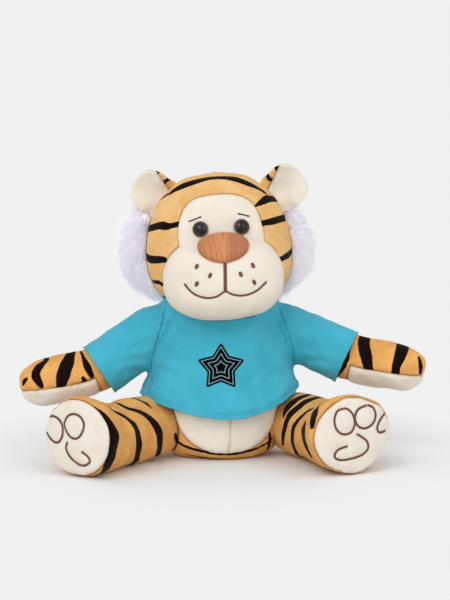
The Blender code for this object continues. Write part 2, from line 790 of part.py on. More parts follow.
def build_ear(index, side, label):
    """The cream front and striped back of one ear. It returns the groove that its root sits in."""
    hinge = make_empty(label + "_ear_fold", ear_matrix(index, side), HEAD)
    half_base = EAR_HALF_WIDTH + OVERRUN
    top = EAR_CENTRE_Z + EAR_HALF_HEIGHT + OVERRUN
    sizes = (EAR_HALF_THICKNESS, EAR_HALF_WIDTH, EAR_HALF_HEIGHT)
    mesh = blob_mesh(label + "_ear_form", sizes, EAR_SQUARE_SHARE, LIMB_STEPS, INNER_STEPS)
    warp(moved(mesh, (0.0, 0.0, EAR_CENTRE_Z)), ear_cup)
    form = make_helper(label + "_ear_form", mesh, hinge)
    root = ear_root(label + "_ear_root", EAR_HALF_THICKNESS, top, half_base, hinge)
    seam = SEAM_GAP / 2
    thick = EAR_HALF_THICKNESS + OVERRUN
    halves = (
        ("_ear_front", (seam, -half_base, -thick), (thick, half_base, top), "cream_plush"),
        ("_ear_back", (-thick, -half_base, -thick), (-seam, half_base, top), "orange_plush"),
    )
    for name, low, high, material in halves:
        outline = bendable_box(label + name + "_half", low, high, ear_cup)
        half = make_helper(label + name + "_half", outline, hinge)
        cut_piece(label + name, form, [root, half], [], material, hinge)
    groove_radius = EAR_HALF_THICKNESS + TURN_GAP
    return ear_root(label + "_ear_groove", groove_radius, groove_radius, half_base, hinge)


# Arms and sleeves

def arm_profile():
    """The arm's radius along its length, from the tip of the paw to the shoulder's sewn cap."""
    cap = math.radians(ARM_CAP_DEG)
    inner = SHOULDER_RADIUS - JERSEY - SEAM_GAP
    paw = [(r * ARM_PAW_RADIUS, ARM_LENGTH - z * ARM_PAW_RADIUS) for r, z in PAW_SHARES]
    line = smooth_line(paw + [(ARM_WAIST_RADIUS, SLEEVE_LENGTH), (inner, 0.0)], SMOOTH_STEPS)
    edge = math.pi - cap
    line += ball_arc(inner, math.pi / 2, edge)
    line.append((SHOULDER_RADIUS * math.sin(edge), SHOULDER_RADIUS * math.cos(edge)))
    return line + ball_arc(SHOULDER_RADIUS, edge, math.pi)


def shrunk(line, inset):
    """A profile taken in all round by an inset. Points that reach the axis between its ends go."""
    top, bottom = line[0][1], line[-1][1]
    scale = (top - bottom - 2 * inset) / (top - bottom)
    inside = [(r - inset, bottom + inset + (z - bottom) * scale) for r, z in line[1:-1]]
    inside = [(r, z) for r, z in inside if r > inset]
    return [(0.0, top - inset)] + inside + [(0.0, bottom + inset)]


def plain_arm_profile(inset):
    """The arm's hollow or filling, without the step round the shoulder's cap."""
    inner = SHOULDER_RADIUS - JERSEY - SEAM_GAP
    line = [(r * ARM_PAW_RADIUS, ARM_LENGTH - z * ARM_PAW_RADIUS) for r, z in PAW_CORE_SHARES]
    line.append((ARM_WAIST_RADIUS, SLEEVE_LENGTH))
    line += [(r * inner, -z * inner) for r, z in SHOULDER_CORE_SHARES]
    return shrunk(line, inset)


def sleeve_profile(grow):
    """The sleeve's outer line from hem to mouth, round the shoulder's ball."""
    radius = SHOULDER_RADIUS + grow
    line = [(SLEEVE_HEM_RADIUS + grow, SLEEVE_LENGTH), (radius, 0.0)]
    return line + ball_arc(radius, math.pi / 2, math.pi - math.radians(SLEEVE_MOUTH_DEG))


def sleeve_room(name, parent):
    """The room that the sleeve and its ball need at rest in the torso and the shirt's body."""
    radius = clear_of(SHOULDER_RADIUS + TURN_GAP)
    far = SLEEVE_LENGTH + OVERRUN
    line = [(0.0, far), (clear_of(SLEEVE_HEM_RADIUS + TURN_GAP), far), (radius, 0.0)]
    line += ball_arc(radius, math.pi / 2, math.pi)
    return make_helper(name, turned_mesh(name, line, BALL_STEPS), parent)


def lowered_room(name, parent):
    """The room that the sleeve needs when the arm is down. Its inner end stays within the ball."""
    radius = clear_of(SHOULDER_RADIUS + SEAM_GAP)
    far = SLEEVE_LENGTH + OVERRUN
    line = [(0.0, far), (clear_of(SLEEVE_HEM_RADIUS + SEAM_GAP), far)]
    line += [(r * radius, z * radius) for r, z in LOWERED_ROOM_SHARES]
    return make_helper(name, turned_mesh(name, line, BALL_STEPS), parent)


def shoulder_place(side):
    """The shoulder's pivot in the torso's frame: far enough out for the sleeve to swing down."""
    point, out = torso_surface(side * 90.0, TORSO_HEIGHT * SHOULDER_HEIGHT_SHARE)
    stand_off = SHOULDER_RADIUS * math.sin(math.radians(max(ARM_DROOP_DEG)))
    return TORSO.matrix_world @ (point + out * stand_off + Vector((0.0, SHOULDER_BACK, 0.0)))


def arm_direction(index, side, raised_deg):
    droop = math.radians(ARM_DROOP_DEG[index] - raised_deg)
    forward = math.radians(ARM_FORWARD_DEG)
    flat = math.cos(droop)
    return Vector((side * flat * math.cos(forward), -flat * math.sin(forward), -math.sin(droop)))


def arm_frame(index, side, raised_deg):
    """Z runs along the arm and X points up, so the paw bends towards X."""
    out = arm_direction(index, side, raised_deg)
    return frame_matrix(shoulder_place(side), out, Vector((0, 0, 1)))


def build_arm(index, side, label):
    """One arm and its sleeve. It returns the clearances that the torso and shirt are cut by."""
    shoulder = make_empty(label + "_shoulder", arm_frame(index, side, 0.0))
    bend = bent(ARM_ELBOW, ARM_BEND_LENGTH, math.radians(ARM_BEND_DEG[index]))
    outer_mesh = turned_mesh(label + "_arm_form", arm_profile(), LIMB_STEPS)
    hollow_mesh = turned_mesh(label + "_arm_hollow", plain_arm_profile(PLUSH), INNER_STEPS)
    filling_mesh = turned_mesh(
        label + "_arm_filling_form", plain_arm_profile(PLUSH + FILL_GAP), INNER_STEPS
    )
    for mesh in (outer_mesh, hollow_mesh, filling_mesh):
        warp(mesh, bend)
    outer = make_helper(label + "_arm_form", outer_mesh, shoulder)
    hollow = make_helper(label + "_arm_hollow", hollow_mesh, shoulder)
    filling = make_helper(label + "_arm_filling_form", filling_mesh, shoulder)
    opening = palm_cutter(label + "_palm_opening", 0.0, bend, shoulder)
    outline = palm_cutter(label + "_palm_outline", SEAM_GAP, bend, shoulder)
    cut_piece(label + "_arm_cover", outer, [], [hollow, opening], "orange_plush", shoulder)
    cut_piece(label + "_palm_panel", outer, [outline], [hollow], "cream_plush", shoulder)
    cut_piece(label + "_arm_filling", filling, [], [], "polyester_fibre", shoulder)
    outside = sleeve_profile(0.0)
    inside = sleeve_profile(-JERSEY)
    mesh = turned_mesh(label + "_sleeve", outside + list(reversed(inside)), LIMB_STEPS, loop=True)
    make_piece(label + "_sleeve", mesh, "turquoise_jersey", shoulder)
    lowered = make_empty(label + "_shoulder_lowered", arm_frame(index, side, -ARM_LOWER_DEG[index]))
    return [
        sleeve_room(label + "_sleeve_room", shoulder),
        lowered_room(label + "_sleeve_room_lowered", lowered),
    ]


def palm_cutter(name, gap, bend, parent):
    """The half of the paw below the palm seam, from the wrist to the tip."""
    drop = PALM_DEPTH_SHARE * ARM_PAW_RADIUS + gap
    reach = ARM_PAW_RADIUS + OVERRUN
    far = ARM_LENGTH + OVERRUN
    mesh = bendable_box(name, (-reach, -reach, PALM_START + gap), (-drop, reach, far), bend)
    return make_helper(name, mesh, parent)


# Legs

def leg_profile(inset):
    """The leg's radius along its length, from the domed sole back to the hip's ball."""
    foot = LEG_FOOT_RADIUS
    line = [(r * foot, LEG_LENGTH + z * SOLE_DOME) for r, z in SOLE_SHARES]
    line += [(r * foot, LEG_LENGTH - z * foot) for r, z in FOOT_SHARES]
    line += [(LEG_CALF_RADIUS, LEG_LENGTH * CALF_SHARE), (LEG_ROOT_RADIUS, 0.0)]
    line = smooth_line(line, SMOOTH_STEPS) + ball_arc(LEG_ROOT_RADIUS, math.pi / 2, math.pi)
    return shrunk(line, inset) if inset else line


def leg_room(name, parent):
    """The room that the thigh needs when the leg is in. Its inner end stays within the ball."""
    radius = clear_of(LEG_ROOT_RADIUS + SEAM_GAP)
    far = LEG_LENGTH / 2
    line = [(0.0, far), (clear_of(LEG_CALF_RADIUS + SEAM_GAP), far)]
    line += [(r * radius, z * radius) for r, z in LEG_ROOM_SHARES]
    return make_helper(name, turned_mesh(name, line, BALL_STEPS), parent)


def hip_place(side):
    """The hip's pivot, out from the torso by what the leg's swing needs, at the leg's lying height."""
    height = LEG_FOOT_RADIUS - FLOOR_CUT
    point, out = torso_surface(side * HIP_ANGLE_DEG, height)
    stand_off = LEG_ROOT_RADIUS * math.sin(math.radians(LEG_IN_DEG)) + TURN_GAP
    return TORSO.matrix_world @ (point + out * stand_off)


def leg_frame(index, side, inward_deg):
    """Z runs along the leg and X points up."""
    yaw = math.radians(LEG_YAW_DEG[index] - inward_deg)
    out = Vector((side * math.sin(yaw), -math.cos(yaw), 0.0))
    return frame_matrix(hip_place(side), out, Vector((0, 0, 1)))


def build_leg(index, side, label):
    """One leg with its sole. It returns the socket and the room that the torso is cut by."""
    hip = make_empty(label + "_hip", leg_frame(index, side, 0.0))
    forms = []
    for part, inset, sides in (
        ("_leg_form", 0.0, LIMB_STEPS),
        ("_leg_hollow", PLUSH, INNER_STEPS),
        ("_leg_filling_form", PLUSH + FILL_GAP, INNER_STEPS),
    ):
        mesh = turned_mesh(label + part, leg_profile(inset), sides)
        forms.append(make_helper(label + part, mesh, hip))
    outer, hollow, filling = forms
    reach = LEG_FOOT_RADIUS + OVERRUN
    split = LEG_LENGTH + SOLE_DOME - SOLE_DEPTH
    far = LEG_LENGTH + SOLE_DOME + OVERRUN
    sole_room = box_mesh(label + "_sole_room", (-reach, -reach, split), (reach, reach, far))
    sole_end = box_mesh(label + "_sole_end", (-reach, -reach, split + SEAM_GAP), (reach, reach, far))
    room = make_helper(label + "_sole_room", sole_room, hip)
    end = make_helper(label + "_sole_end", sole_end, hip)
    cut_piece(label + "_leg_cover", outer, [], [hollow, room, FLOOR], "orange_plush", hip)
    cut_piece(label + "_sole", outer, [end], [hollow, FLOOR], "cream_plush", hip)
    cut_piece(label + "_leg_filling", filling, [], [], "polyester_fibre", hip)
    inward = make_empty(label + "_hip_inward", leg_frame(index, side, LEG_IN_DEG))
    return [
        ball_helper(label + "_hip_socket", LEG_ROOT_RADIUS + TURN_GAP, hip),
        leg_room(label + "_leg_room", inward),
    ]


# Tail

def tail_profile(inset):
    middle_share, along_share = TAIL_MIDDLE_SHARES
    line = [(r * TAIL_RADIUS, TAIL_LENGTH - z * TAIL_RADIUS) for r, z in TAIL_TIP_SHARES]
    line += [(TAIL_RADIUS * middle_share, TAIL_LENGTH * along_share), (TAIL_RADIUS, 0.0)]
    line = smooth_line(line, SMOOTH_STEPS) + ball_arc(TAIL_RADIUS, math.pi / 2, math.pi)
    return shrunk(line, inset) if inset else line


def build_tail():
    """The tail behind the seat, split along its two seams, curling to the right round its filling."""
    point, out = torso_surface(180.0, TAIL_SEAT_Z)
    stand_off = TAIL_RADIUS * math.sin(math.radians(TAIL_SWING_DEG))
    droop = math.radians(TAIL_DROOP_DEG)
    turn = Matrix.Rotation(math.radians(TORSO_YAW_DEG), 3, "Z")
    along = turn @ Vector((0.0, math.cos(droop), -math.sin(droop)))
    place = TORSO.matrix_world @ (point + out * stand_off)
    root = make_empty("tail_root", frame_matrix(place, along, Vector((1, 0, 0))))
    bend = bent(TAIL_STRAIGHT, TAIL_BEND_LENGTH, math.radians(TAIL_BEND_DEG))
    outer_mesh = turned_mesh("tail_form", tail_profile(0.0), INNER_STEPS)
    hollow_mesh = turned_mesh("tail_hollow", tail_profile(PLUSH), INNER_STEPS)
    filling_mesh = turned_mesh("tail_filling_form", tail_profile(PLUSH + FILL_GAP), INNER_STEPS)
    reach = TAIL_RADIUS + OVERRUN
    seam = SEAM_GAP / 2
    near = -TAIL_RADIUS - OVERRUN
    far = TAIL_LENGTH + OVERRUN
    halves = {
        "tail_upper_panel": ((-reach, -reach, near), (reach, -seam, far)),
        "tail_lower_panel": ((-reach, seam, near), (reach, reach, far)),
    }
    for mesh in (outer_mesh, hollow_mesh, filling_mesh):
        warp(mesh, bend)
    outer = make_helper("tail_form", outer_mesh, root)
    hollow = make_helper("tail_hollow", hollow_mesh, root)
    filling = make_helper("tail_filling_form", filling_mesh, root)
    for name, (low, high) in halves.items():
        half = make_helper(name + "_half", bendable_box(name + "_half", low, high, bend), root)
        cut_piece(name, outer, [half], [hollow], "orange_plush", root)
    cut_piece("tail_filling", filling, [], [], "polyester_fibre", root)
    return ball_helper("tail_socket", TAIL_RADIUS + TURN_GAP, root)


# The whole toy

clear_scene()
TIGER = make_collection("plush_tiger")
CONSTRUCTION = make_collection("construction")
MATERIALS = make_materials()

floor_reach = 2.0 * (TORSO_HALF_WIDTH + LEG_LENGTH)
floor_low = (-floor_reach, -floor_reach, -LEG_LENGTH)
floor_high = (floor_reach, floor_reach, 0.0)
FLOOR = make_helper("floor_cutter", box_mesh("floor_cutter", floor_low, floor_high), None)
TORSO = make_empty("torso", Matrix.Rotation(math.radians(TORSO_YAW_DEG), 4, "Z"))
head_turn = Matrix.Rotation(math.radians(HEAD_YAW_DEG), 4, "Z")
head_roll = Matrix.Rotation(math.radians(-HEAD_ROLL_DEG), 4, "Y")
neck_place = Matrix.Translation((NECK_X, NECK_Y, TORSO_HEIGHT + NECK_RISE))
NECK = make_empty("neck", neck_place)
HEAD = make_empty("head", neck_place @ head_turn @ head_roll)

neck_mesh = blob_mesh(
    "neck_filling", (NECK_RADIUS, NECK_RADIUS, NECK_RADIUS), 0.0, LIMB_STEPS, INNER_STEPS
)
make_piece("neck_filling", neck_mesh, "polyester_fibre", NECK)
neck_socket = ball_helper("neck_socket", NECK_RADIUS + TURN_GAP, NECK)

sleeve_rooms = []
leg_rooms = []
ear_grooves = []
eye_shafts = []
for index, side, label in SIDES:
    sleeve_rooms += build_arm(index, side, label)
    leg_rooms += build_leg(index, side, label)
    ear_grooves.append(build_ear(index, side, label))
    eye_shafts.append(build_eye(side, label))
    build_ruff(side, label)
tail_socket = build_tail()

build_torso(sleeve_rooms + leg_rooms + [tail_socket, neck_socket])
build_shirt(sleeve_rooms + leg_rooms)
build_head(neck_socket, ear_grooves, eye_shafts)
build_muzzle()
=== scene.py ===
"""A seated plush tiger in a T-shirt: its fabric panels, fur, thread, eyes and shirt.

Metres, +Z up, the toy looks along -Y. Left and right are the viewer's.
"""

import json
import math

import bmesh
import bpy
import numpy as np
from mathutils import Matrix, Vector
from mathutils.bvhtree import BVHTree
from mathutils.kdtree import KDTree

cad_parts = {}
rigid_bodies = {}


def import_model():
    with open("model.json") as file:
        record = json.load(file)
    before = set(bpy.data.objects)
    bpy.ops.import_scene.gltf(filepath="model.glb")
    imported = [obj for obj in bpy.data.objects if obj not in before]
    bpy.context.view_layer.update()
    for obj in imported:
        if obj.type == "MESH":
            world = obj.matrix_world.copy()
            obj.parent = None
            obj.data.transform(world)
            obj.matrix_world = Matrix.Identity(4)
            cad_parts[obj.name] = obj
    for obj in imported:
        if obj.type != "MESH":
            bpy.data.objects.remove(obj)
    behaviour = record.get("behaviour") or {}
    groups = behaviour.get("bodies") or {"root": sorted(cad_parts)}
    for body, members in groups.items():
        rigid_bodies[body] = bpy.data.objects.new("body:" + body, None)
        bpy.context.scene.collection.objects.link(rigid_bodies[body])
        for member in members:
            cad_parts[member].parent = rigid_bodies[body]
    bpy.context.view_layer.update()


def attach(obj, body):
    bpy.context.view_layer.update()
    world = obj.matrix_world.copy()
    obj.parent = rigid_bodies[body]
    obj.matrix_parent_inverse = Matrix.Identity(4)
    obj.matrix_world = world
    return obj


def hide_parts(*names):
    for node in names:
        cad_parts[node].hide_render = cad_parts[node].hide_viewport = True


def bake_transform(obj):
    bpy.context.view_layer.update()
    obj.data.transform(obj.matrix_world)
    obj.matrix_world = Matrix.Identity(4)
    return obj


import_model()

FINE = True

# Camera: the photograph's frame, focal length in its pixels, and where it looks
FRAME_WIDTH, FRAME_HEIGHT = 450, 600
FOCAL_PIXELS = 1923.0
DISTANCE = 1.25
TARGET = Vector((0.0026, 0.0, 0.101))
ELEVATION = math.radians(7.0)

# The solids' own sizes, repeated. Angles are in degrees
TORSO_WIDTH, TORSO_DEPTH, TORSO_HEIGHT, FLOOR_CUT = 0.045, 0.036, 0.094, 0.0005
TORSO_SHARES = (
    (0.0, 1.0), (0.42, 0.985), (0.69, 0.92), (0.86, 0.77), (0.95, 0.57),
    (1.0, 0.34), (0.94, 0.14), (0.74, 0.03), (0.45, 0.0), (0.0, 0.0),
)
BELLY_WIDTH, BELLY_HEIGHT, BELLY_Z, BELLY_POWER = 0.032, 0.038, 0.0455, 2.4
NECK = Vector((0.0002, 0.004, 0.099))
HEAD_WIDTH, HEAD_DEPTH, HEAD_HEIGHT, HEAD_FORWARD = 0.0475, 0.041, 0.086, 0.004
HEAD_SHARES = (
    (0.0, 1.0), (0.42, 0.955), (0.64, 0.875), (0.80, 0.785), (0.93, 0.63),
    (0.99, 0.48), (1.0, 0.35), (0.96, 0.22), (0.83, 0.10), (0.52, 0.0), (0.0, 0.0),
)
FACE_WIDTH, FACE_HEIGHT, FACE_Z, FACE_POWER = 0.0268, 0.028, 0.045, 2.8
MUZZLE_SIZES, MUZZLE_PLACE, MUZZLE_POWER = (0.0385, 0.025, 0.0264), (0.0, -0.039, 0.0198), 2.35
NOSE_SIZES, NOSE_PLACE = (0.0160, 0.0052, 0.0108), (0.0, -0.0552, 0.0411)
EYE_RADIUS, EYE_DOME, EYE_STANDOFF, EYE_X, EYE_Z = 0.0051, 0.0040, 0.0008, 0.0128, 0.0520
EAR_SIZES, EAR_Z, EAR_POWER, EAR_CUP = (0.0034, 0.0148, 0.0160), 0.0050, 2.5, 0.0045
EAR_SEAT, EAR_BACK, EAR_OUTWARD, EAR_LEAN, EAR_LIFT = (0.069, 0.066), 0.006, (28, 12), 42, 0.00148
RUFF_Z, RUFF_BACK, RUFF_OUT = 0.0298, 0.008, 0.002
SHOULDER_R, SHOULDER_Z, ARM_LENGTH, ARM_WAIST, ARM_PAW = 0.0172, 0.080, 0.0935, 0.0146, 0.0158
ARM_IN, ARM_BACK, ARM_DROOP, ARM_FORWARD = 34, 0.001, (34, 24), 9
ARM_BEND, ARM_ELBOW, ARM_BEND_LENGTH = (25, 16), 0.034, 0.024
PALM_START, PALM_DROP, SLEEVE_LENGTH = 0.046, 0.0019, 0.042
LEG_ROOT, LEG_GAP, LEG_FOOT, LEG_LENGTH = 0.0210, 0.0006, 0.0255, 0.0745
SOLE_DOME, SOLE_DEPTH, LEG_YAW, LEG_IN, HIP_ANGLE = 0.0035, 0.0060, (36, 27), 12, 77
TAIL_R, TAIL_LENGTH, TAIL_Z, TAIL_STRAIGHT, TAIL_BEND_LENGTH = 0.0065, 0.072, 0.0125, 0.010, 0.050
TAIL_BEND, TAIL_DROOP, TAIL_SWING = 75, 4, 25
TORSO_TURN, HEAD_TURN, HEAD_TILT = 8.0, 3.6, -3.0
SIDES = ((0, -1, "left"), (1, 1, "right"))

# What "stripe" says where there is none, and how near a cut may snap to a point, as a share of an edge
NO_STRIPE = -9.0
SNAP = 0.3


# Lines and surfaces

def smooth_line(points, steps=8):
    """A Catmull-Rom line through the points."""
    points = np.asarray(points, float)
    last = len(points) - 1
    t = np.arange(steps)[:, None] / steps
    out = []
    for i in range(last):
        a, b, c, d = (points[min(max(i + k, 0), last)] for k in (-1, 0, 1, 2))
        out.append((2 * b + (c - a) * t + (2 * a - 5 * b + 4 * c - d) * t ** 2
                    + (3 * b - a - 3 * c + d) * t ** 3) / 2)
    return np.vstack(out + [points[last:]])


def evenly(line, count):
    """The same line with its points evenly spaced."""
    line = np.asarray(line, float)
    run = np.concatenate([[0], np.cumsum(np.linalg.norm(np.diff(line, axis=0), axis=1))])
    at = np.linspace(0, run[-1], count)
    return np.column_stack([np.interp(at, run, column) for column in line.T])


def length_of(line):
    return float(np.linalg.norm(np.diff(np.asarray(line, float), axis=0), axis=1).sum())


def ripple(points, wavelength, seed, octaves=1):
    """Smooth noise in space, about -1 to 1, made of waves in many directions."""
    rng = np.random.default_rng(seed)
    total = np.zeros(len(points))
    for octave in range(octaves):
        ways = rng.normal(size=(9, 3))
        ways /= np.linalg.norm(ways, axis=1)[:, None]
        phase = rng.uniform(0, 2 * math.pi, 9)
        waves = np.cos(points @ ways.T * (2 * math.pi * 2 ** octave / wavelength) + phase)
        total += waves.sum(axis=1) / 4.0 * 0.5 ** octave
    return np.clip(total, -1.6, 1.6)


def moved(points, matrix):
    m = np.array(matrix)
    return points @ m[:3, :3].T + m[:3, 3]


class Form:
    """A surface being made: points, triangles, and values that each point carries."""

    def __init__(self, points, faces, values=None):
        self.points = np.asarray(points, float)
        self.faces = np.asarray(faces, int)
        self.values = values or {}

    def corners(self):
        return (self.points[self.faces[:, k]] for k in range(3))

    def ends(self):
        """The two ends of every triangle's edges, as indexes."""
        return np.vstack([self.faces[:, [0, 1]], self.faces[:, [1, 2]], self.faces[:, [2, 0]]])

    def normals(self):
        a, b, c = self.corners()
        flat = np.cross(b - a, c - a)
        out = np.zeros_like(self.points)
        for k in range(3):
            np.add.at(out, self.faces[:, k], flat)
        return out / np.maximum(np.linalg.norm(out, axis=1), 1e-20)[:, None]

    def outward(self):
        """Turns the faces round if they point in."""
        a, b, c = self.corners()
        if np.einsum("ij,ij->i", a, np.cross(b, c)).sum() < 0:
            self.faces = self.faces[:, ::-1]
        return self

    def push(self, amount):
        """Moves each point by an amount along the surface's way out."""
        self.points = self.points + self.normals() * np.asarray(amount).reshape(-1, 1)
        return self

    def placed(self, matrix):
        self.points = moved(self.points, matrix)
        return self

    def given(self, name, value):
        """Every point carries the same value under a name."""
        self.values[name] = np.full(len(self.points), value)
        return self

    def smoothed(self, rounds):
        """Evens the points out against their neighbours."""
        ends = np.vstack([self.ends(), self.ends()[:, ::-1]])
        count = np.bincount(ends[:, 0], minlength=len(self.points))[:, None]
        for _ in range(rounds):
            mean = np.zeros_like(self.points)
            np.add.at(mean, ends[:, 0], self.points[ends[:, 1]])
            self.points = self.points + (mean / count - self.points) * 0.5
        return self

    def cut(self, field):
        """The parts where the field is below and above 0, with a clean edge along it."""
        f, points = np.asarray(field, float).copy(), self.points.copy()
        pair = np.unique(np.sort(self.ends(), axis=1), axis=0)
        pair = pair[f[pair[:, 0]] * f[pair[:, 1]] < 0]
        share = f[pair[:, 0]] / (f[pair[:, 0]] - f[pair[:, 1]])
        start, end = share < SNAP, share > 1 - SNAP
        pair = np.vstack([pair[start], pair[end][:, ::-1]])
        share = np.concatenate([share[start], 1 - share[end]])
        for k in np.argsort(-share):
            near, far = pair[k]
            points[near] = self.points[near] + (self.points[far] - self.points[near]) * share[k]
            f[near] = 0
        side = np.sign(f)[self.faces]
        low, high = (side < 0).any(axis=1), (side > 0).any(axis=1)
        below, above = [[tuple(t) for t in self.faces[some]] for some in (~high, high & ~low)]
        extra, ends, shares = {}, [], []

        def middle(i, j):
            key = (min(i, j), max(i, j))
            if key not in extra:
                extra[key] = len(points) + len(ends)
                ends.append(key)
                shares.append(f[key[0]] / (f[key[0]] - f[key[1]]))
            return extra[key]

        for tri, signs in zip(self.faces[low & high].tolist(), side[low & high].tolist()):
            if 0 in signs:
                a, b, c = (tri[(signs.index(0) + k) % 3] for k in range(3))
                m = middle(b, c)
                one, two = (below, above) if f[b] < 0 else (above, below)
                one.append((a, b, m))
                two.append((a, m, c))
                continue
            lone = signs.index(-1) if sum(signs) > 0 else signs.index(1)
            a, b, c = (tri[(lone + k) % 3] for k in range(3))
            ab, ac = middle(a, b), middle(a, c)
            one, two = (below, above) if signs[lone] < 0 else (above, below)
            one.append((a, ab, ac))
            two.extend([(ab, b, c), (ab, c, ac)])
        on_line, values = points[f == 0], {}
        pair, share = np.array(ends, int).reshape(-1, 2), np.array(shares)
        between = lambda v, s: v[pair[:, 0]] * (1 - s) + v[pair[:, 1]] * s
        crossed = between(points, share[:, None])
        for name, value in self.values.items():
            values[name] = np.concatenate([value, between(value, share)])
        self.edge = np.vstack([crossed, on_line])
        return [Form(np.vstack([points, crossed]), faces, values).packed() for faces in (below, above)]

    def packed(self):
        """Without the points that no triangle uses."""
        if not len(self.faces):
            return self
        used, index = np.unique(self.faces, return_inverse=True)
        self.faces = index.reshape(-1, 3)
        self.points = self.points[used]
        self.values = {name: value[used] for name, value in self.values.items()}
        return self

    def tree(self):
        return BVHTree.FromPolygons(self.points.tolist(), self.faces.tolist())

    def joined(self, other):
        values = {k: np.concatenate([v, other.values[k]]) for k, v in self.values.items() if k in other.values}
        faces = np.vstack([self.faces, other.faces + len(self.points)])
        return Form(np.vstack([self.points, other.points]), faces, values)


def turned(profile, rows, sides):
    """A profile of (radius, height), from its top pole to its bottom pole, turned about Z."""
    line = evenly(profile, rows)[1:-1]
    angle = np.arange(sides) * 2 * math.pi / sides
    ring = np.column_stack([np.cos(angle), np.sin(angle)])
    body = np.concatenate([np.column_stack([ring * r, np.full(sides, z)]) for r, z in line])
    points = np.vstack([body, [[0, 0, profile[0][1]]], [[0, 0, profile[-1][1]]]])
    top, bottom = len(body), len(body) + 1
    faces = []
    for k in range(sides):
        n = (k + 1) % sides
        faces.append((top, k, n))
        faces.append((bottom, (len(line) - 1) * sides + n, (len(line) - 1) * sides + k))
    start = (np.arange(len(line) - 1) * sides)[:, None]
    k = np.arange(sides)[None, :]
    n = (k + 1) % sides
    a, b, c, d = start + k, start + sides + k, start + sides + n, start + n
    body_faces = np.concatenate([
        np.stack([a, b, c], -1).reshape(-1, 3), np.stack([a, c, d], -1).reshape(-1, 3)
    ])
    return Form(points, np.vstack([body_faces, faces])).outward()


def ball_form(level):
    """An even ball of radius 1."""
    ball = bmesh.new()
    bmesh.ops.create_icosphere(ball, subdivisions=level, radius=1.0)
    points = np.array([v.co for v in ball.verts])
    faces = np.array([[v.index for v in f.verts] for f in ball.faces])
    ball.free()
    return Form(points, faces)


def puffed(sizes, power, level):
    form = ball_form(level)
    reach = (np.abs(form.points) ** power).sum(axis=1) ** (-1 / power)
    form.points = form.points * reach[:, None] * np.array(sizes)
    return form


def ball_arc(radius, first, last, count=10):
    turn = np.linspace(first, last, count + 1)[1:]
    return np.column_stack([radius * np.sin(turn), radius * np.cos(turn)])


def bend(points, start, length, degrees):
    """Bends a form that lies along Z towards +X, over a length from a start."""
    angle = math.radians(degrees)
    radius = length / angle
    along = points[:, 2] - start
    turn = np.clip(along, 0, length) / radius
    beyond = np.maximum(along - length, 0)
    across = radius - points[:, 0]
    out = points.copy()
    bent = along > 0
    out[bent, 0] = (radius - across * np.cos(turn) + beyond * np.sin(turn))[bent]
    out[bent, 2] = (start + across * np.sin(turn) + beyond * np.cos(turn))[bent]
    return out


def torso_line(steps=8):
    shares = smooth_line(TORSO_SHARES, steps)
    return np.column_stack([
        np.maximum(shares[:, 0], 0) * TORSO_WIDTH, shares[:, 1] * (TORSO_HEIGHT + FLOOR_CUT) - FLOOR_CUT
    ])


def head_line():
    shares = smooth_line(HEAD_SHARES)
    return np.column_stack([np.maximum(shares[:, 0], 0) * HEAD_WIDTH, shares[:, 1] * HEAD_HEIGHT])


def width_at(line, height):
    return np.interp(height, line[::-1, 1], line[::-1, 0], left=0, right=0)


# Frames

TORSO = Matrix.Rotation(math.radians(TORSO_TURN), 4, "Z")
HEAD = (Matrix.Translation(NECK) @ Matrix.Rotation(math.radians(HEAD_TURN), 4, "Z")
        @ Matrix.Rotation(math.radians(HEAD_TILT), 4, "Y"))
UP = Vector((0, 0, 1))


def frame_matrix(origin, out, up):
    z = out.normalized()
    x = (up - up.dot(z) * z).normalized()
    rotation = Matrix((x, z.cross(x), z)).transposed().to_4x4()
    return Matrix.Translation(origin) @ rotation


def torso_spot(degrees, height):
    """A point on the torso's solid in its own frame, and the way out. 0 is the front."""
    width = float(width_at(torso_line(2), height))
    depth = width * TORSO_DEPTH / TORSO_WIDTH
    angle = math.radians(degrees)
    way = Vector((math.sin(angle), -math.cos(angle), 0))
    spot = way / math.hypot(way.x / width, way.y / depth)
    out = Vector((spot.x / width ** 2, spot.y / depth ** 2, 0)).normalized()
    return Vector((spot.x, spot.y, height)), out


def shoulder(index, side):
    spot, out = torso_spot(side * 90, SHOULDER_Z)
    place = TORSO @ (spot + out * SHOULDER_R * math.sin(math.radians(ARM_IN)) + Vector((0, ARM_BACK, 0)))
    droop, forward = math.radians(ARM_DROOP[index]), math.radians(ARM_FORWARD)
    flat = math.cos(droop)
    way = Vector((side * flat * math.cos(forward), -flat * math.sin(forward), -math.sin(droop)))
    return frame_matrix(place, way, UP)


def hip(index, side):
    spot, out = torso_spot(side * HIP_ANGLE, LEG_FOOT - FLOOR_CUT)
    place = TORSO @ (spot + out * (LEG_ROOT * math.sin(math.radians(LEG_IN)) + LEG_GAP))
    yaw = math.radians(LEG_YAW[index])
    return frame_matrix(place, Vector((side * math.sin(yaw), -math.cos(yaw), 0)), UP)


def ear_hinge(index, side):
    line = head_line()
    width = float(width_at(line, EAR_SEAT[index]))
    depth = width * HEAD_DEPTH / HEAD_WIDTH
    x = width * math.sqrt(1 - (EAR_BACK / depth) ** 2)
    spot = Vector((side * x, EAR_BACK - HEAD_FORWARD, EAR_SEAT[index]))
    lean, outward = math.radians(EAR_LEAN), math.radians(EAR_OUTWARD[index])
    out = Vector((side * math.cos(lean), 0, math.sin(lean)))
    facing = Vector((side * math.sin(outward), -math.cos(outward), 0))
    return HEAD @ frame_matrix(spot + out * EAR_LIFT, out, facing)


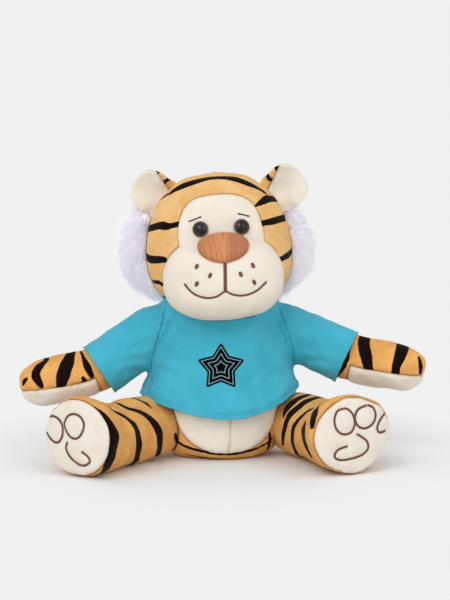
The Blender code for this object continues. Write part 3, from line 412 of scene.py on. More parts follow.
def tail_root():
    spot, out = torso_spot(180, TAIL_Z)
    droop = math.radians(TAIL_DROOP)
    way = TORSO.to_3x3() @ Vector((0, math.cos(droop), -math.sin(droop)))
    place = TORSO @ (spot + out * TAIL_R * math.sin(math.radians(TAIL_SWING)))
    return frame_matrix(place, way, Vector((1, 0, 0)))


# Objects and nodes

def nearest_of(spots):
    """A tree that finds the nearest of some points."""
    tree = KDTree(len(spots))
    for i, spot in enumerate(spots):
        tree.insert(spot, i)
    tree.balance()
    return tree


def mesh_object(name, points, faces=(), edges=(), values=None):
    """An object in the scene, whose points carry values under their names."""
    mesh = bpy.data.meshes.new(name)
    mesh.from_pydata(np.asarray(points).tolist(), list(edges), np.asarray(faces).tolist())
    for label, value in (values or {}).items():
        value = np.asarray(value, float)
        kind, field = ("FLOAT_VECTOR", "vector") if value.ndim == 2 else ("FLOAT", "value")
        mesh.attributes.new(label, kind, "POINT").data.foreach_set(field, value.ravel())
    obj = bpy.data.objects.new(name, mesh)
    bpy.context.scene.collection.objects.link(obj)
    return obj


def applied(obj):
    """Puts what an object's modifiers make in place of its mesh."""
    bpy.context.view_layer.update()
    made = bpy.data.meshes.new_from_object(obj.evaluated_get(bpy.context.evaluated_depsgraph_get()))
    obj.modifiers.clear()
    obj.data = made
    made.name = obj.name
    made.shade_smooth()
    return obj


def plug(tree, socket, value):
    """Links a node's socket to another one, or sets its value."""
    value = getattr(value, "socket", value)
    if isinstance(value, bpy.types.NodeSocket):
        tree.links.new(value, socket)
    elif socket.type == "RGBA" and len(value) == 3:
        socket.default_value = (*value, 1)
    else:
        socket.default_value = value


def add_node(tree, kind, settings=None, inputs=None):
    """Adds a node, with its settings and the values or links of its sockets."""
    made = tree.nodes.new(kind)
    for label, value in (settings or {}).items():
        setattr(made, label, value)
    for label, value in (inputs or {}).items():
        plug(tree, made.inputs[label], value)
    return made


# Materials

class Value:
    """A number in a material's node tree, so that shader maths can be written out."""

    def __init__(self, finish, socket):
        self.finish, self.socket = finish, socket

    def worked(self, operation, *others):
        return self.finish.node("ShaderNodeMath", {"operation": operation}, dict(enumerate((self, *others))))

    def __add__(self, other):
        return self.worked("ADD", other)

    __radd__ = __add__

    def __sub__(self, other):
        return self.worked("SUBTRACT", other)

    def __mul__(self, other):
        return self.worked("MULTIPLY", other)


class Finish:
    """One material: its surface shader, and the nodes that feed it."""

    def __init__(self, name, slot_colour, **surface):
        self.material = bpy.data.materials.new(name)
        self.material.use_nodes = True
        self.material.diffuse_color = (*slot_colour, 1)
        self.tree = self.material.node_tree
        self.surface = self.tree.nodes["Principled BSDF"].inputs
        self.colour(slot_colour)
        for label, value in surface.items():
            self.feed(label.replace("_", " "), value)

    def node(self, kind, settings=None, inputs=None, output=0):
        return Value(self, add_node(self.tree, kind, settings, inputs).outputs[output])

    def feed(self, label, value):
        """Gives one of the surface's inputs its value."""
        plug(self.tree, self.surface[label], value)
        return self

    def attribute(self, name):
        return self.node("ShaderNodeAttribute", {"attribute_name": name}, output="Fac")

    def noise(self, size, detail=2.0, stretch=(1, 1, 1)):
        """Soft noise on the object's coordinates, with features of a size in metres."""
        place = self.node("ShaderNodeTexCoord", output="Object")
        place = self.node("ShaderNodeMapping", {}, {"Vector": place, "Scale": tuple(s / size for s in stretch)})
        return self.node("ShaderNodeTexNoise", {}, {"Vector": place, "Scale": 1.0, "Detail": detail}, "Fac")

    def ramp(self, value, low, high, start=0.0, end=1.0):
        """A value that runs smoothly from start to end between two limits."""
        return self.node("ShaderNodeMapRange", {"interpolation_type": "SMOOTHSTEP"}, {
            "Value": value, "From Min": low, "From Max": high, "To Min": start, "To Max": end})

    def mix(self, first, second, factor):
        return self.node("ShaderNodeMix", {"data_type": "RGBA"}, {0: factor, 6: first, 7: second}, 2)

    def colour(self, value):
        return self.feed("Base Color", value)

    def rough(self, noise, smoothest, roughest):
        return self.feed("Roughness", self.ramp(noise, 0.3, 0.7, smoothest, roughest))

    def bump(self, height, distance, strength=1.0):
        inputs = {"Height": height, "Distance": distance, "Strength": strength}
        return self.feed("Normal", self.node("ShaderNodeBump", {}, inputs, "Normal"))


# The stripes' black, where it is deep and where the pile is worn, and the jersey's knit, in millimetres
BLACK_PILE, WORN_PILE = (0.006, 0.0025, 0.0015), (0.017, 0.009, 0.006)
KNIT_COLUMN, KNIT_ROW = 0.62, 0.52


def plush(name, pale, deep, seam, sheen=0.045):
    """Short-pile plush: brushed patches, a fine nap, painted shade in its sewn grooves and printed stripes."""
    finish = Finish(name, pale, Sheen_Weight=sheen, Sheen_Roughness=0.45, IOR=1.4, Specular_IOR_Level=0.06)
    brushed = finish.noise(0.011, 3.0)
    grain = finish.noise(0.0016, 3.0)
    nap = finish.noise(0.00042, 2.0, (1, 1, 0.5))
    cloth = finish.mix(pale, deep, finish.ramp(brushed * 0.6 + grain * 0.28 + nap * 0.12, 0.36, 0.66))
    # Painted shade: the colour darkens towards the seams, where the grooves sink in
    edge = finish.attribute("seam") + (grain - 0.5) * 0.6
    cloth = finish.mix(seam, cloth, finish.ramp(edge, 0.05, 1.7))
    stripe = finish.attribute("stripe") + (grain - 0.5) * 0.7 + (nap - 0.5) * 0.5
    ink = finish.mix(BLACK_PILE, WORN_PILE, finish.ramp(nap, 0.45, 0.75))
    finish.colour(finish.mix(cloth, ink, finish.ramp(stripe, -0.16, 0.16)))
    return finish.rough(brushed, 0.86, 0.97).bump(grain * 0.5 + nap * 0.5, 0.00028, 0.55).material


def ruff_fur():
    """Long pale fur: greyer at its roots as painted shade, lightened by a faint painted glow, with strands of
    slightly different tints.
    """
    # The emission is painted light: a faint glow over the whole fur
    finish = Finish("white_fur", (0.80, 0.775, 0.87), Sheen_Weight=0.1, Specular_IOR_Level=0.2,
                    Emission_Strength=1.0, Emission_Color=(0.085, 0.082, 0.100))
    strand = finish.mix((0.93, 0.915, 0.97), (0.98, 0.975, 0.99), finish.attribute("tint"))
    # Painted shade: the roots are greyer than the tips
    finish.colour(finish.mix((0.88, 0.85, 0.95), strand, finish.ramp(finish.attribute("along"), 0.0, 0.4)))
    return finish.rough(finish.noise(0.003), 0.7, 0.95).material


def jersey_knit():
    """Turquoise cotton jersey: fine columns of knit loops with painted shade between them, painted shade along its
    seams and edges, and slight wear in the dye.
    """
    finish = Finish("turquoise_jersey", (0.052, 0.425, 0.560), Sheen_Weight=0.12, Sheen_Roughness=0.5,
                    Specular_IOR_Level=0.15)
    columns = (finish.attribute("around") * (2 * math.pi / KNIT_COLUMN)).worked("SINE")
    offset = columns.worked("ABSOLUTE")
    rows = (finish.attribute("level") * (2 * math.pi / KNIT_ROW) + offset * 1.6).worked("SINE")
    loops = columns * 0.5 + rows * 0.5
    slub, dye = finish.noise(0.0012, 3.0), finish.noise(0.016, 3.0)
    cloth = finish.mix((0.047, 0.405, 0.545), (0.062, 0.455, 0.600), finish.ramp(dye, 0.3, 0.7))
    # Painted shade in the hollows between the knit loops
    shade = finish.mix((0.036, 0.335, 0.460), cloth, finish.ramp(loops + (slub - 0.5) * 2.0, -1.5, 0.1))
    # Painted shade along the seams, hems, cuffs and collar
    finish.colour(finish.mix((0.029, 0.285, 0.390), shade, finish.ramp(finish.attribute("seam"), 0.0, 0.9)))
    return finish.rough(slub, 0.78, 0.92).bump(loops * 0.5 + slub, 0.00016, 0.5).material


def embroidery_thread(name, pale, deep, gloss=0.42, streaks=0.0):
    """Rayon thread, with the twist of its plies. Streaks is the share of each strand's tint, which on the nose holds
    painted highlight and shade.
    """
    finish = Finish(name, pale, Specular_IOR_Level=0.45, Sheen_Weight=0.1)
    ply, patch = finish.noise(0.00035, 2.0, (1, 1, 2.5)), finish.noise(0.005, 2.0)
    shade = (ply * 0.6 + patch * 0.4) * (1 - streaks) + finish.attribute("tint") * streaks
    finish.colour(finish.mix(deep, pale, finish.ramp(shade, 0.3, 0.65)))
    return finish.rough(ply, gloss, gloss + 0.2).bump(ply, 0.00008, 0.6).material


def glossy_eye():
    """A moulded eye: a black pupil in a dark brown iris, under clear plastic."""
    finish = Finish("eye_plastic", (0.02, 0.012, 0.01), Coat_Weight=1.0, Coat_Roughness=0.03, Coat_IOR=1.42,
                    Specular_IOR_Level=0.0)
    ring = finish.attribute("ring") + (finish.noise(0.0009, 2.0) - 0.5) * 0.05
    iris = finish.mix((0.004, 0.003, 0.003), (0.032, 0.016, 0.010), finish.ramp(ring, 0.55, 0.66))
    finish.colour(finish.mix(iris, (0.085, 0.078, 0.072), finish.ramp(ring, 0.84, 0.91)))
    return finish.rough(finish.noise(0.002), 0.25, 0.35).material


def star_ink():
    """Black screen print with thin contour lines left open to the cloth's colour."""
    black = (0.002, 0.002, 0.003)
    finish = Finish("star_print", black, Specular_IOR_Level=0.03)
    inset, wear = finish.attribute("inset"), finish.noise(0.0007, 3.0)
    lines = 0.0
    for depth in (1.5, 3.9, 6.3):
        gap = (inset - depth).worked("ABSOLUTE")
        lines = lines + finish.ramp(gap + (wear - 0.5) * 0.12, 0.10, 0.22, 1.0, 0.0)
    finish.colour(finish.mix(black, (0.30, 0.55, 0.62), lines))
    return finish.rough(wear, 0.55, 0.72).bump(wear, 0.00008, 0.4).material


def washer_plastic():
    finish = Finish("washer_plastic", (0.75, 0.75, 0.72))
    mould = finish.noise(0.0012, 2.0)
    return finish.colour(finish.mix((0.70, 0.70, 0.67), (0.79, 0.79, 0.76), mould)).rough(mould, 0.32, 0.48).material


# Each plush and thread: its pale colour, its deep one, and for each plush the colour of the painted shade in its
# seams
orange_head = plush("orange_plush_head", (0.805, 0.510, 0.220), (0.705, 0.405, 0.148), (0.36, 0.155, 0.045))
orange_body = plush("orange_plush_body", (0.775, 0.410, 0.128), (0.650, 0.304, 0.084), (0.25, 0.095, 0.028))
cream_head = plush("cream_plush_head", (0.800, 0.735, 0.640), (0.760, 0.690, 0.590), (0.60, 0.48, 0.35), 0.07)
cream_body = plush("cream_plush_body", (0.795, 0.735, 0.645), (0.740, 0.675, 0.580), (0.47, 0.38, 0.28), 0.07)
# The belly's plush is the same cream, painted lighter to make up for the shade that the shirt and the legs cast on it
brightened_cream_belly = plush("cream_plush_belly_brightened", (0.870, 0.808, 0.722), (0.825, 0.762, 0.675), (0.52, 0.43, 0.33), 0.07)
white_fur = ruff_fur()
turquoise_jersey = jersey_knit()
nose_thread = embroidery_thread("nose_thread", (0.61, 0.250, 0.102), (0.44, 0.150, 0.054), 0.34, 0.75)
mouth_thread = embroidery_thread("mouth_thread", (0.190, 0.062, 0.044), (0.10, 0.030, 0.022))
dark_thread = embroidery_thread("dark_thread", (0.050, 0.038, 0.036), (0.020, 0.014, 0.013))
hem_thread = embroidery_thread("hem_thread", (0.075, 0.52, 0.66), (0.045, 0.40, 0.53), 0.55)
eye_gloss = glossy_eye()
print_ink = star_ink()
washer = washer_plastic()


# Thread and fur, by Geometry Nodes

def grow(tree, kind, settings=None, **inputs):
    """Adds a node, and gives its first output."""
    inputs = {label.replace("_", " "): value for label, value in inputs.items()}
    return add_node(tree, kind, settings, inputs).outputs[0]


def named(tree, name, kind="FLOAT"):
    return grow(tree, "GeometryNodeInputNamedAttribute", {"data_type": kind}, Name=name)


def started(name, **inputs):
    """A tree that takes a mesh and some inputs, and its mesh's lines as curves."""
    tree = bpy.data.node_groups.new(name, "GeometryNodeTree")
    for way in ("INPUT", "OUTPUT"):
        tree.interface.new_socket("Geometry", in_out=way, socket_type="NodeSocketGeometry")
    for label, kind in inputs.items():
        tree.interface.new_socket(label, in_out="INPUT", socket_type="NodeSocket" + kind)
    entry = tree.nodes.new("NodeGroupInput").outputs
    return tree, entry, grow(tree, "GeometryNodeMeshToCurve", Mesh=entry["Geometry"])


def ended(tree, entry, geometry):
    """Gives out a tree's geometry in its material."""
    solid = grow(tree, "GeometryNodeRealizeInstances", Geometry=geometry)
    done = grow(tree, "GeometryNodeSetMaterial", Geometry=solid, Material=entry["Material"])
    tree.links.new(done, tree.nodes.new("NodeGroupOutput").inputs[0])
    return tree


def strand_tree():
    """Tapered tubes along lines, whose thickness each point of the line gives."""
    tree, entry, lines = started("strands", Sides="Int", Material="Material")
    circle = grow(tree, "GeometryNodeCurvePrimitiveCircle", Resolution=entry["Sides"], Radius=1.0)
    tube = grow(tree, "GeometryNodeCurveToMesh", Curve=lines, Profile_Curve=circle, Scale=named(tree, "thick"))
    return ended(tree, entry, tube)


def stitch_tree():
    """One small slanted stitch after another along lines that lie on a surface."""
    tree, entry, lines = started("stitches", Spacing="Float", Length="Float", Thickness="Float", Slant="Float",
                                 Material="Material")
    even = grow(tree, "GeometryNodeResampleCurve", {"mode": "LENGTH"}, Curve=lines, Length=entry["Spacing"])
    bead = grow(tree, "GeometryNodeMeshUVSphere", Segments=6, Rings=5, Radius=0.5)
    way = grow(tree, "GeometryNodeInputTangent")
    along = grow(tree, "FunctionNodeAlignRotationToVector", {"axis": "X"}, Vector=way)
    flat = grow(tree, "FunctionNodeAlignRotationToVector", {"axis": "Z", "pivot_axis": "X"},
                Rotation=along, Vector=named(tree, "out", "FLOAT_VECTOR"))
    tilt = grow(tree, "ShaderNodeCombineXYZ", Z=entry["Slant"])
    slanted = grow(tree, "FunctionNodeRotateRotation", {"rotation_space": "LOCAL"}, Rotation=flat,
                   Rotate_By=grow(tree, "FunctionNodeEulerToRotation", Euler=tilt))
    size = grow(tree, "ShaderNodeCombineXYZ", X=entry["Length"], Y=entry["Thickness"], Z=entry["Thickness"])
    beads = grow(tree, "GeometryNodeInstanceOnPoints", Points=even, Instance=bead, Rotation=slanted, Scale=size)
    return ended(tree, entry, beads)


STRANDS, STITCHES = strand_tree(), stitch_tree()

# Stitches: each one's length, the spacing along the line, the slant in degrees, the thickness and the lift
NOSE_LINE_STITCH = (0.0027, 0.00042, 78, 0.0007, 0.00015)
MOUTH_STITCH = (0.0018, 0.00042, 62, 0.0006, 0.00015)
BROW_STITCH = (0.0013, 0.0004, 62, 0.0005, 0.00015)
TOE_STITCH = (0.0019, 0.00045, 66, 0.0006, 0.00015)
HEM_STITCH = (0.0014, 0.0019, 0, 0.00032, 0.00006)


def from_lines(name, tree, points, starts, body, values, **inputs):
    """A piece that a tree makes along lines. Starts are the indexes where lines begin."""
    count = len(points)
    last = set(list(starts[1:]) + [count])
    edges = [(i, i + 1) for i in range(count - 1) if i + 1 not in last]
    obj = mesh_object(name, points, edges=edges, values=values)
    modifier = obj.modifiers.new(name, "NODES")
    modifier.node_group = tree
    for socket in tree.interface.items_tree:
        if socket.in_out == "INPUT" and socket.name in inputs:
            modifier[socket.identifier] = inputs[socket.name]
    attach(applied(obj), body)
    return obj


def embroider(name, form, lines, body, material, stitch):
    """Rope-like embroidery along lines on a form."""
    length, spacing, slant, thickness, lift = stitch
    normals, tree = form.normals(), nearest_of(form.points)
    points, outs, starts = [], [], []
    for line in lines:
        line = np.asarray(line)[:, :3]
        line = evenly(line, max(3, int(length_of(line) / 0.0006)))
        out = np.array([normals[tree.find(p)[1]] for p in line])
        starts.append(len(points))
        points.extend(line + out * lift)
        outs.extend(out)
    return from_lines(name, STITCHES, points, starts, body, {"out": outs}, Spacing=spacing, Length=length,
                      Thickness=thickness, Slant=math.radians(slant), Material=material)


# The photograph's rays

# How much wider the printed stripes are than the lines that were read off the photograph
INK_SPREAD = 1.18
EYE_POINT = TARGET + Vector((0, -math.cos(ELEVATION), math.sin(ELEVATION))) * DISTANCE
FORWARD = (TARGET - EYE_POINT).normalized()
RIGHT = Vector((1, 0, 0))
CAMERA_UP = RIGHT.cross(FORWARD)


def ray(u, v):
    """The way from the camera through a point of the photograph."""
    across, rise = (u - FRAME_WIDTH / 2) / FOCAL_PIXELS, (FRAME_HEIGHT / 2 - v) / FOCAL_PIXELS
    return (FORWARD + RIGHT * across + CAMERA_UP * rise).normalized()


def seen(tree, pixels):
    """Where rays through points of the photograph meet a surface."""
    hits = [tree.ray_cast(EYE_POINT, ray(u, v))[0] for u, v in pixels]
    return np.array([tuple(hit) for hit in hits if hit is not None])


def spread(values, count):
    """Values along a line, read at an even count of places."""
    return np.interp(np.linspace(0, 1, count), np.linspace(0, 1, len(values)), values)


def drawn(tree, pixels, widths=(1, 1)):
    """A line on a surface through points of the photograph, with its half width in pixels."""
    hits = seen(tree, evenly(smooth_line(pixels), 40))
    halves = spread(widths, len(hits)) * INK_SPREAD
    return np.column_stack([hits, halves * DISTANCE / FOCAL_PIXELS / 2])


def depth_inside(points, lines):
    """How far inside the widest of some lines each point is, in millimetres. It is below 0 outside."""
    best = np.full(len(points), NO_STRIPE)
    for line in lines:
        if len(line) < 2:
            continue
        line = evenly(line, max(4, int(length_of(line[:, :3]) / 0.0005)))
        spots, wide = line[:, :3], line[:, 3]
        near = ((points > spots.min(0) - 0.012) & (points < spots.max(0) + 0.012)).all(axis=1)
        gap = np.linalg.norm(points[near][:, None] - spots[None], axis=2)
        best[near] = np.maximum(best[near], ((wide - gap) * 1000).max(axis=1))
    return best


def distance_to(points, spots, limit=0.03):
    """The distance from each point to the nearest of some spots."""
    tree = nearest_of(spots)
    return np.array([tree.find(p)[2] for p in points]).clip(0, limit)


def groove(distance, depth, width):
    """The depth of a sewn groove at a distance from its seam."""
    return -depth * np.exp(-((distance / width) ** 1.5))


def pressed(form, lines, depth, width):
    """Draws a form in under lines of stitches. It returns the distances from them."""
    distance = distance_to(form.points, np.vstack([line[:, :3] for line in lines]))
    form.push(groove(distance, depth, width))
    return distance


def sewn(form, seams, depth, width, puckers, seed):
    """Draws a form in along its seams, with the small gathers that sewing leaves."""
    distance = distance_to(form.points, seams)
    gathers = ripple(form.points, 0.0042, seed) * puckers * np.exp(-distance / 0.004)
    form.push(groove(distance, depth, width) + gathers)
    # The distance from the seams sets the painted shade along them
    form.values["seam"] = distance * 1000
    return form


def stuffed(form, seed, height, wavelength):
    """The slow unevenness that fibre filling gives."""
    return form.push(ripple(form.points, wavelength, seed, 2) * height)


# How each kind of part is made up: the cap on its swelling and the cloth's cell, the unevenness of its filling
# and its wavelength, and the depth, the width and the puckers of its seams
SEWING = {
    "head": (0.0010, 0.0055, 0.00035, 0.034, 0.0011, 0.0016, 0.00022),
    "torso": (0.0012, 0.005, 0.0005, 0.03, 0.0012, 0.0018, 0.0003),
    "leg": (0.0013, 0.0045, 0.0006, 0.028, 0.0012, 0.0017, 0.0003),
    "arm": (0.0010, 0.004, 0.0005, 0.022, 0.0010, 0.0015, 0.0003),
}


def made_up(form, seams, kind, filling_seed, seam_seed):
    """Fills a form and sews its seams."""
    cap, cell, height, wavelength, depth, width, puckers = SEWING[kind]
    filled(form, seams, cap, cell)
    stuffed(form, filling_seed, height, wavelength)
    return sewn(form, seams, depth, width, puckers, seam_seed)


def socket(form, centre, radius, inward):
    """Dents a form where a ball sits in it."""
    offset, way = form.points - np.array(centre), np.array(inward)
    square = np.einsum("ij,ij->i", offset, offset)
    inside = square < radius ** 2
    along = offset[inside] @ way
    reach = np.sqrt(np.maximum(along ** 2 - square[inside] + radius ** 2, 0))
    form.points[inside] += (reach - along)[:, None] * way
    return form


def cut_line(form, field):
    """The points along which a field crosses 0."""
    form.cut(field)
    return form.edge


def banded(wave, bands):
    """How far inside the widest of some level bands each point is."""
    return np.max([half - np.abs(wave - level) for level, half in bands], axis=0)


def eased(share):
    """A share from 0 to 1, with a soft start and end."""
    share = np.clip(share, 0, 1)
    return share * share * (3 - 2 * share)


# Pieces

def add_piece(name, form, material, body=None, stands_for=()):
    """A finished piece, the body it rides and the solids it stands for."""
    obj = mesh_object(name, form.points, form.faces, values=form.values)
    obj.data.shade_smooth()
    obj.data.materials.append(material)
    if body:
        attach(obj, body)
    if stands_for:
        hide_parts(*stands_for)
    return obj


# Head

HEAD_CENTRE = np.array([0.0, -0.022, 0.030])


def reach_inside(inside, ways):
    """How far each way runs from the head's centre before it leaves a shape."""
    low, high = np.zeros(len(ways)), np.full(len(ways), 0.12)
    for _ in range(26):
        middle = (low + high) / 2
        hit = inside(HEAD_CENTRE + ways * middle[:, None])
        low, high = np.where(hit, middle, low), np.where(hit, high, middle)
    return low


def head_reach(ways):
    """How far the head's egg and the muzzle reach from a point inside both, along each way."""
    line = head_line()

    def in_egg(p):
        across = np.hypot(p[:, 0], (p[:, 1] + HEAD_FORWARD) * HEAD_WIDTH / HEAD_DEPTH)
        return (p[:, 2] > 0) & (p[:, 2] < HEAD_HEIGHT) & (across < width_at(line, p[:, 2]))

    def in_muzzle(p):
        return (np.abs((p - MUZZLE_PLACE) / MUZZLE_SIZES) ** MUZZLE_POWER).sum(axis=1) < 1

    return reach_inside(in_egg, ways), reach_inside(in_muzzle, ways)


def make_head():
    form = ball_form(7)
    egg, muzzle = head_reach(form.points)
    blend = 0.0022
    reach = np.maximum(egg, muzzle) + blend * np.log1p(np.exp(-np.abs(egg - muzzle) / blend))
    form.points = HEAD_CENTRE + form.points * reach[:, None]
    x, y, z = form.points.T
    form.values["muzzle"] = (muzzle - egg) * 1000
    shape = (np.abs(x / FACE_WIDTH) ** FACE_POWER + np.abs((z - FACE_Z) / FACE_HEIGHT) ** FACE_POWER)
    face = (shape ** (1 / FACE_POWER) - 1) * 27
    form.values["face"] = np.where(y > -HEAD_FORWARD - 0.006, 20.0, face)
    return form.placed(HEAD)


# Cloth simulation

def voxelled(obj, cell):
    """Gives an object a skin of even cells."""
    remesh = obj.modifiers.new("Remesh", "REMESH")
    remesh.mode, remesh.voxel_size = "VOXEL", cell
    return obj


def read_back(mesh):
    """A mesh's points, and the corners of its faces."""
    return np.array([v.co for v in mesh.vertices]), [tuple(p.vertices) for p in mesh.polygons]


def simulate(form, pinned, frames, pressure=0.0, gravity=0.0, shrink=0.0, against=(), cell=0.0):
    """Cloth simulation on a coarse copy of a form. It returns the copy's points before and after."""
    scene = bpy.context.scene
    obj = mesh_object("cloth", form.points, form.faces)
    if cell:
        applied(voxelled(obj, cell))
    before, faces = read_back(obj.data)
    group = obj.vertex_groups.new(name="held")
    for i, weight in enumerate(pinned(before)):
        if weight > 0:
            group.add([i], float(weight), "REPLACE")
    cloth = obj.modifiers.new("Cloth", "CLOTH")
    settings = cloth.settings
    settings.quality, settings.mass = 6, 0.15
    settings.vertex_group_mass = "held"
    settings.use_pressure, settings.uniform_pressure_force = pressure > 0, pressure
    settings.effector_weights.gravity = gravity
    settings.shrink_min = shrink
    settings.tension_stiffness = settings.compression_stiffness = 12
    settings.bending_stiffness = 0.08
    settings.air_damping = 2.0
    cloth.collision_settings.use_collision = bool(against)
    cloth.collision_settings.distance_min = 0.001
    blocks = []
    for solid in against:
        block = mesh_object("block", solid.points, solid.faces)
        block.modifiers.new("Collision", "COLLISION")
        block.collision.thickness_outer = 0.0008
        blocks.append(block)
    for frame_number in range(1, frames + 1):
        scene.frame_set(frame_number)
    after, _ = read_back(obj.evaluated_get(bpy.context.evaluated_depsgraph_get()).to_mesh())
    scene.frame_set(1)
    for made in [obj] + blocks:
        bpy.data.objects.remove(made)
    return before, faces, after


def follow(form, before, faces, moved_points):
    """Moves a form's points as the nearest parts of a coarse copy moved."""
    tree = BVHTree.FromPolygons(before.tolist(), faces)
    out = np.zeros_like(form.points)
    for i, p in enumerate(form.points):
        spot, _, index, _ = tree.find_nearest(p)
        corners = list(faces[index])
        weight = 1.0 / (np.linalg.norm(before[corners] - np.array(spot), axis=1) + 1e-5)
        out[i] = (moved_points[corners] * weight[:, None]).sum(axis=0) / weight.sum()
    form.points = form.points + Form(out, form.faces).smoothed(6).points
    return form


def filled(form, seams, cap, cell):
    """Fills a sewn form: its fabric swells between its seams, and keeps its size over all."""
    if not FINE:
        return form
    held = lambda points: np.clip(1.2 - distance_to(points, seams) / 0.003, 0, 1)
    before, faces, after = simulate(form, held, 20, pressure=4.0, shrink=0.02, cell=cell)
    move = after - before
    length = np.linalg.norm(move, axis=1)
    move *= (np.minimum(length, cap) / np.maximum(length, 1e-9))[:, None]
    middle = before.mean(axis=0)
    way = (before - middle) / np.linalg.norm(before - middle, axis=1)[:, None]
    swell = np.einsum("ij,ij->i", move, way).mean()
    return follow(form, before, faces, move - way * swell * 0.7)


# Lines on the head

def head_spot(turn, rise):
    """A point on the head, by its turn from the front and its rise, in degrees."""
    t, r = math.radians(turn), math.radians(rise)
    way = HEAD.to_3x3() @ Vector((math.sin(t) * math.cos(r), -math.cos(t) * math.cos(r), math.sin(r)))
    return head_tree.ray_cast(HEAD @ Vector(HEAD_CENTRE), way)[0]


def head_line_through(angles, halves):
    fine = evenly(smooth_line(angles), 60)
    return np.array([(*head_spot(t, r), w) for (t, r), w in zip(fine, spread(halves, 60))])


def round_head(line, turn, rise=0.0):
    """Carries a stripe on round the head from its last point, tapering to nothing."""
    x, y, z = HEAD.inverted() @ Vector(line[-1, :3]) - Vector(HEAD_CENTRE)
    start = math.degrees(math.atan2(x, -y)), math.degrees(math.atan2(z, math.hypot(x, y)))
    more = []
    for share in np.linspace(0, 1, 24)[1:]:
        spot = head_spot(start[0] + turn * share, start[1] + rise * share)
        more.append((*spot, line[-1, 3] * (1 - share ** 2)))
    return np.vstack([line, more])


head = make_head()
head_tree = head.tree()

CROWN_BAND = ((158.6, 200.5), (166, 195), (176, 189.3), (186, 184.3), (198.6, 179.7), (208, 177.4),
              (218.2, 176.7), (230, 177.6), (240.7, 180.2), (253, 185.2), (265.2, 191.2))
HEAD_STRIPES = (
    (((255.2, 206.5), (262.6, 201.6), (269.2, 197.9), (276.5, 198.9)), (1.2, 5.0, 7.6, 5.5), 26, 6),
    (((259.5, 223.7), (264, 223.1), (271.4, 221.6), (279, 219.3), (285.3, 217.3)), (5, 5, 6, 6, 6), 42, 8),
    (((278.5, 260.6), (284, 257.5), (288.8, 254.9)), (4.5, 5, 6), 36, 5),
    (((179, 224.0), (168.7, 226.3), (159.9, 225.4), (153, 227), (147.2, 228.8)), (5, 5, 7, 6.5, 6), -40, 6),
    (((164, 259.7), (156, 259.6), (150.4, 259.5)), (5, 6.5, 7), -36, 4),
    (((163, 285.0), (160.5, 283.3), (158.8, 282.2)), (4, 4, 4), -24, 2),
)
MOUTH = (
    ((224.9, 262.0), (225.2, 272), (225.4, 291.6)),
    ((184.7, 283.8), (188.5, 289), (195.5, 294.7), (207, 298), (217, 296.4), (225.4, 291.4), (233, 294.6),
     (244.5, 295.3), (256.5, 290.8), (266.3, 281.9)),
)
BROWS = (((189, 221.6), (201, 217)), ((237.9, 213.6), (249.5, 216.3)))
DOTS = ((196.7, 266.5), (210, 275.5), (196.7, 284), (253, 265.4), (240.8, 274.3), (254.3, 282.3))
DARTS = (((184, 206.5), (179, 202), (173.3, 196.3), (168, 191)), ((256, 203), (262, 196.5), (266.5, 190)))

stripes = [drawn(head_tree, CROWN_BAND, (2.5, 5.5, 8, 9, 9, 8.5, 8.5, 8.5, 8, 7, 5))]
for pixels, widths, turn, rise in HEAD_STRIPES:
    stripes.append(round_head(drawn(head_tree, pixels, widths), turn, rise))
for angles in (
    ((122, 50), (150, 58), (180, 60), (210, 58), (238, 50)), ((118, 27), (138, 33), (160, 35)),
    ((242, 27), (222, 33), (200, 35)), ((146, 12), (165, 16), (180, 16), (195, 16), (214, 12)),
    ((124, -3), (142, 0), (162, 0)), ((236, -3), (218, 0), (198, 0)), ((150, 70), (180, 71), (210, 70)),
    ((150, -19), (180, -15), (210, -19)),
):
    stripes.append(head_line_through(angles, (0.0004, 0.0016, 0.0022, 0.0016, 0.0004)))
head.values["stripe"] = depth_inside(head.points, stripes)

back_seam = [head_spot(180, rise)[:] for rise in np.linspace(58, -35, 80)]
muzzle_edge = cut_line(head, -head.values["muzzle"])
front_rest = head.cut(-head.values["muzzle"])[1]
face_edge = cut_line(front_rest, front_rest.values["face"])
mouth_lines = [drawn(head_tree, line) for line in MOUTH]
dot_lines = [drawn(head_tree, ((u - 0.4, v - 1.5), (u + 0.4, v + 1.5))) for u, v in DOTS]
dart_lines = [drawn(head_tree, line) for line in DARTS]
seams = np.vstack([muzzle_edge, face_edge, np.array(back_seam)])
made_up(head, seams, "head", 11, 12)
dart_gap = pressed(head, dart_lines, 0.0006, 0.0011)
# The darts' grooves get painted shade as well
head.values["seam"] = np.minimum(head.values["seam"], dart_gap * 2200 + 0.35)
pressed(head, mouth_lines, 0.0007, 0.0024)
pressed(head, dot_lines, 0.0003, 0.0018)

muzzle_part, rest = head.cut(-head.values["muzzle"])
face_part, crown_part = rest.cut(rest.values["face"])
# The cream panels get less painted seam shade, and no stripes
for part in (muzzle_part, face_part):
    part.given("stripe", NO_STRIPE)
    part.values["seam"] = part.values["seam"] + 0.5
add_piece("plush_crown", crown_part, orange_head, "head", ("crown_cover", "head_filling"))
add_piece("plush_face", face_part, cream_head, "head", ("face_panel",))
add_piece("plush_muzzle", muzzle_part, cream_head, "head", ("muzzle_cover", "muzzle_filling"))

front = face_part.joined(muzzle_part)
front_tree = front.tree()
for name, lines, thread, stitch in (
    ("nose_line_embroidery", MOUTH[:1], mouth_thread, NOSE_LINE_STITCH),
    ("mouth_embroidery", MOUTH[1:], mouth_thread, MOUTH_STITCH),
    ("brow_embroidery", BROWS, dark_thread, BROW_STITCH),
):
    embroider(name, front, [drawn(front_tree, line) for line in lines], "head", thread, stitch)

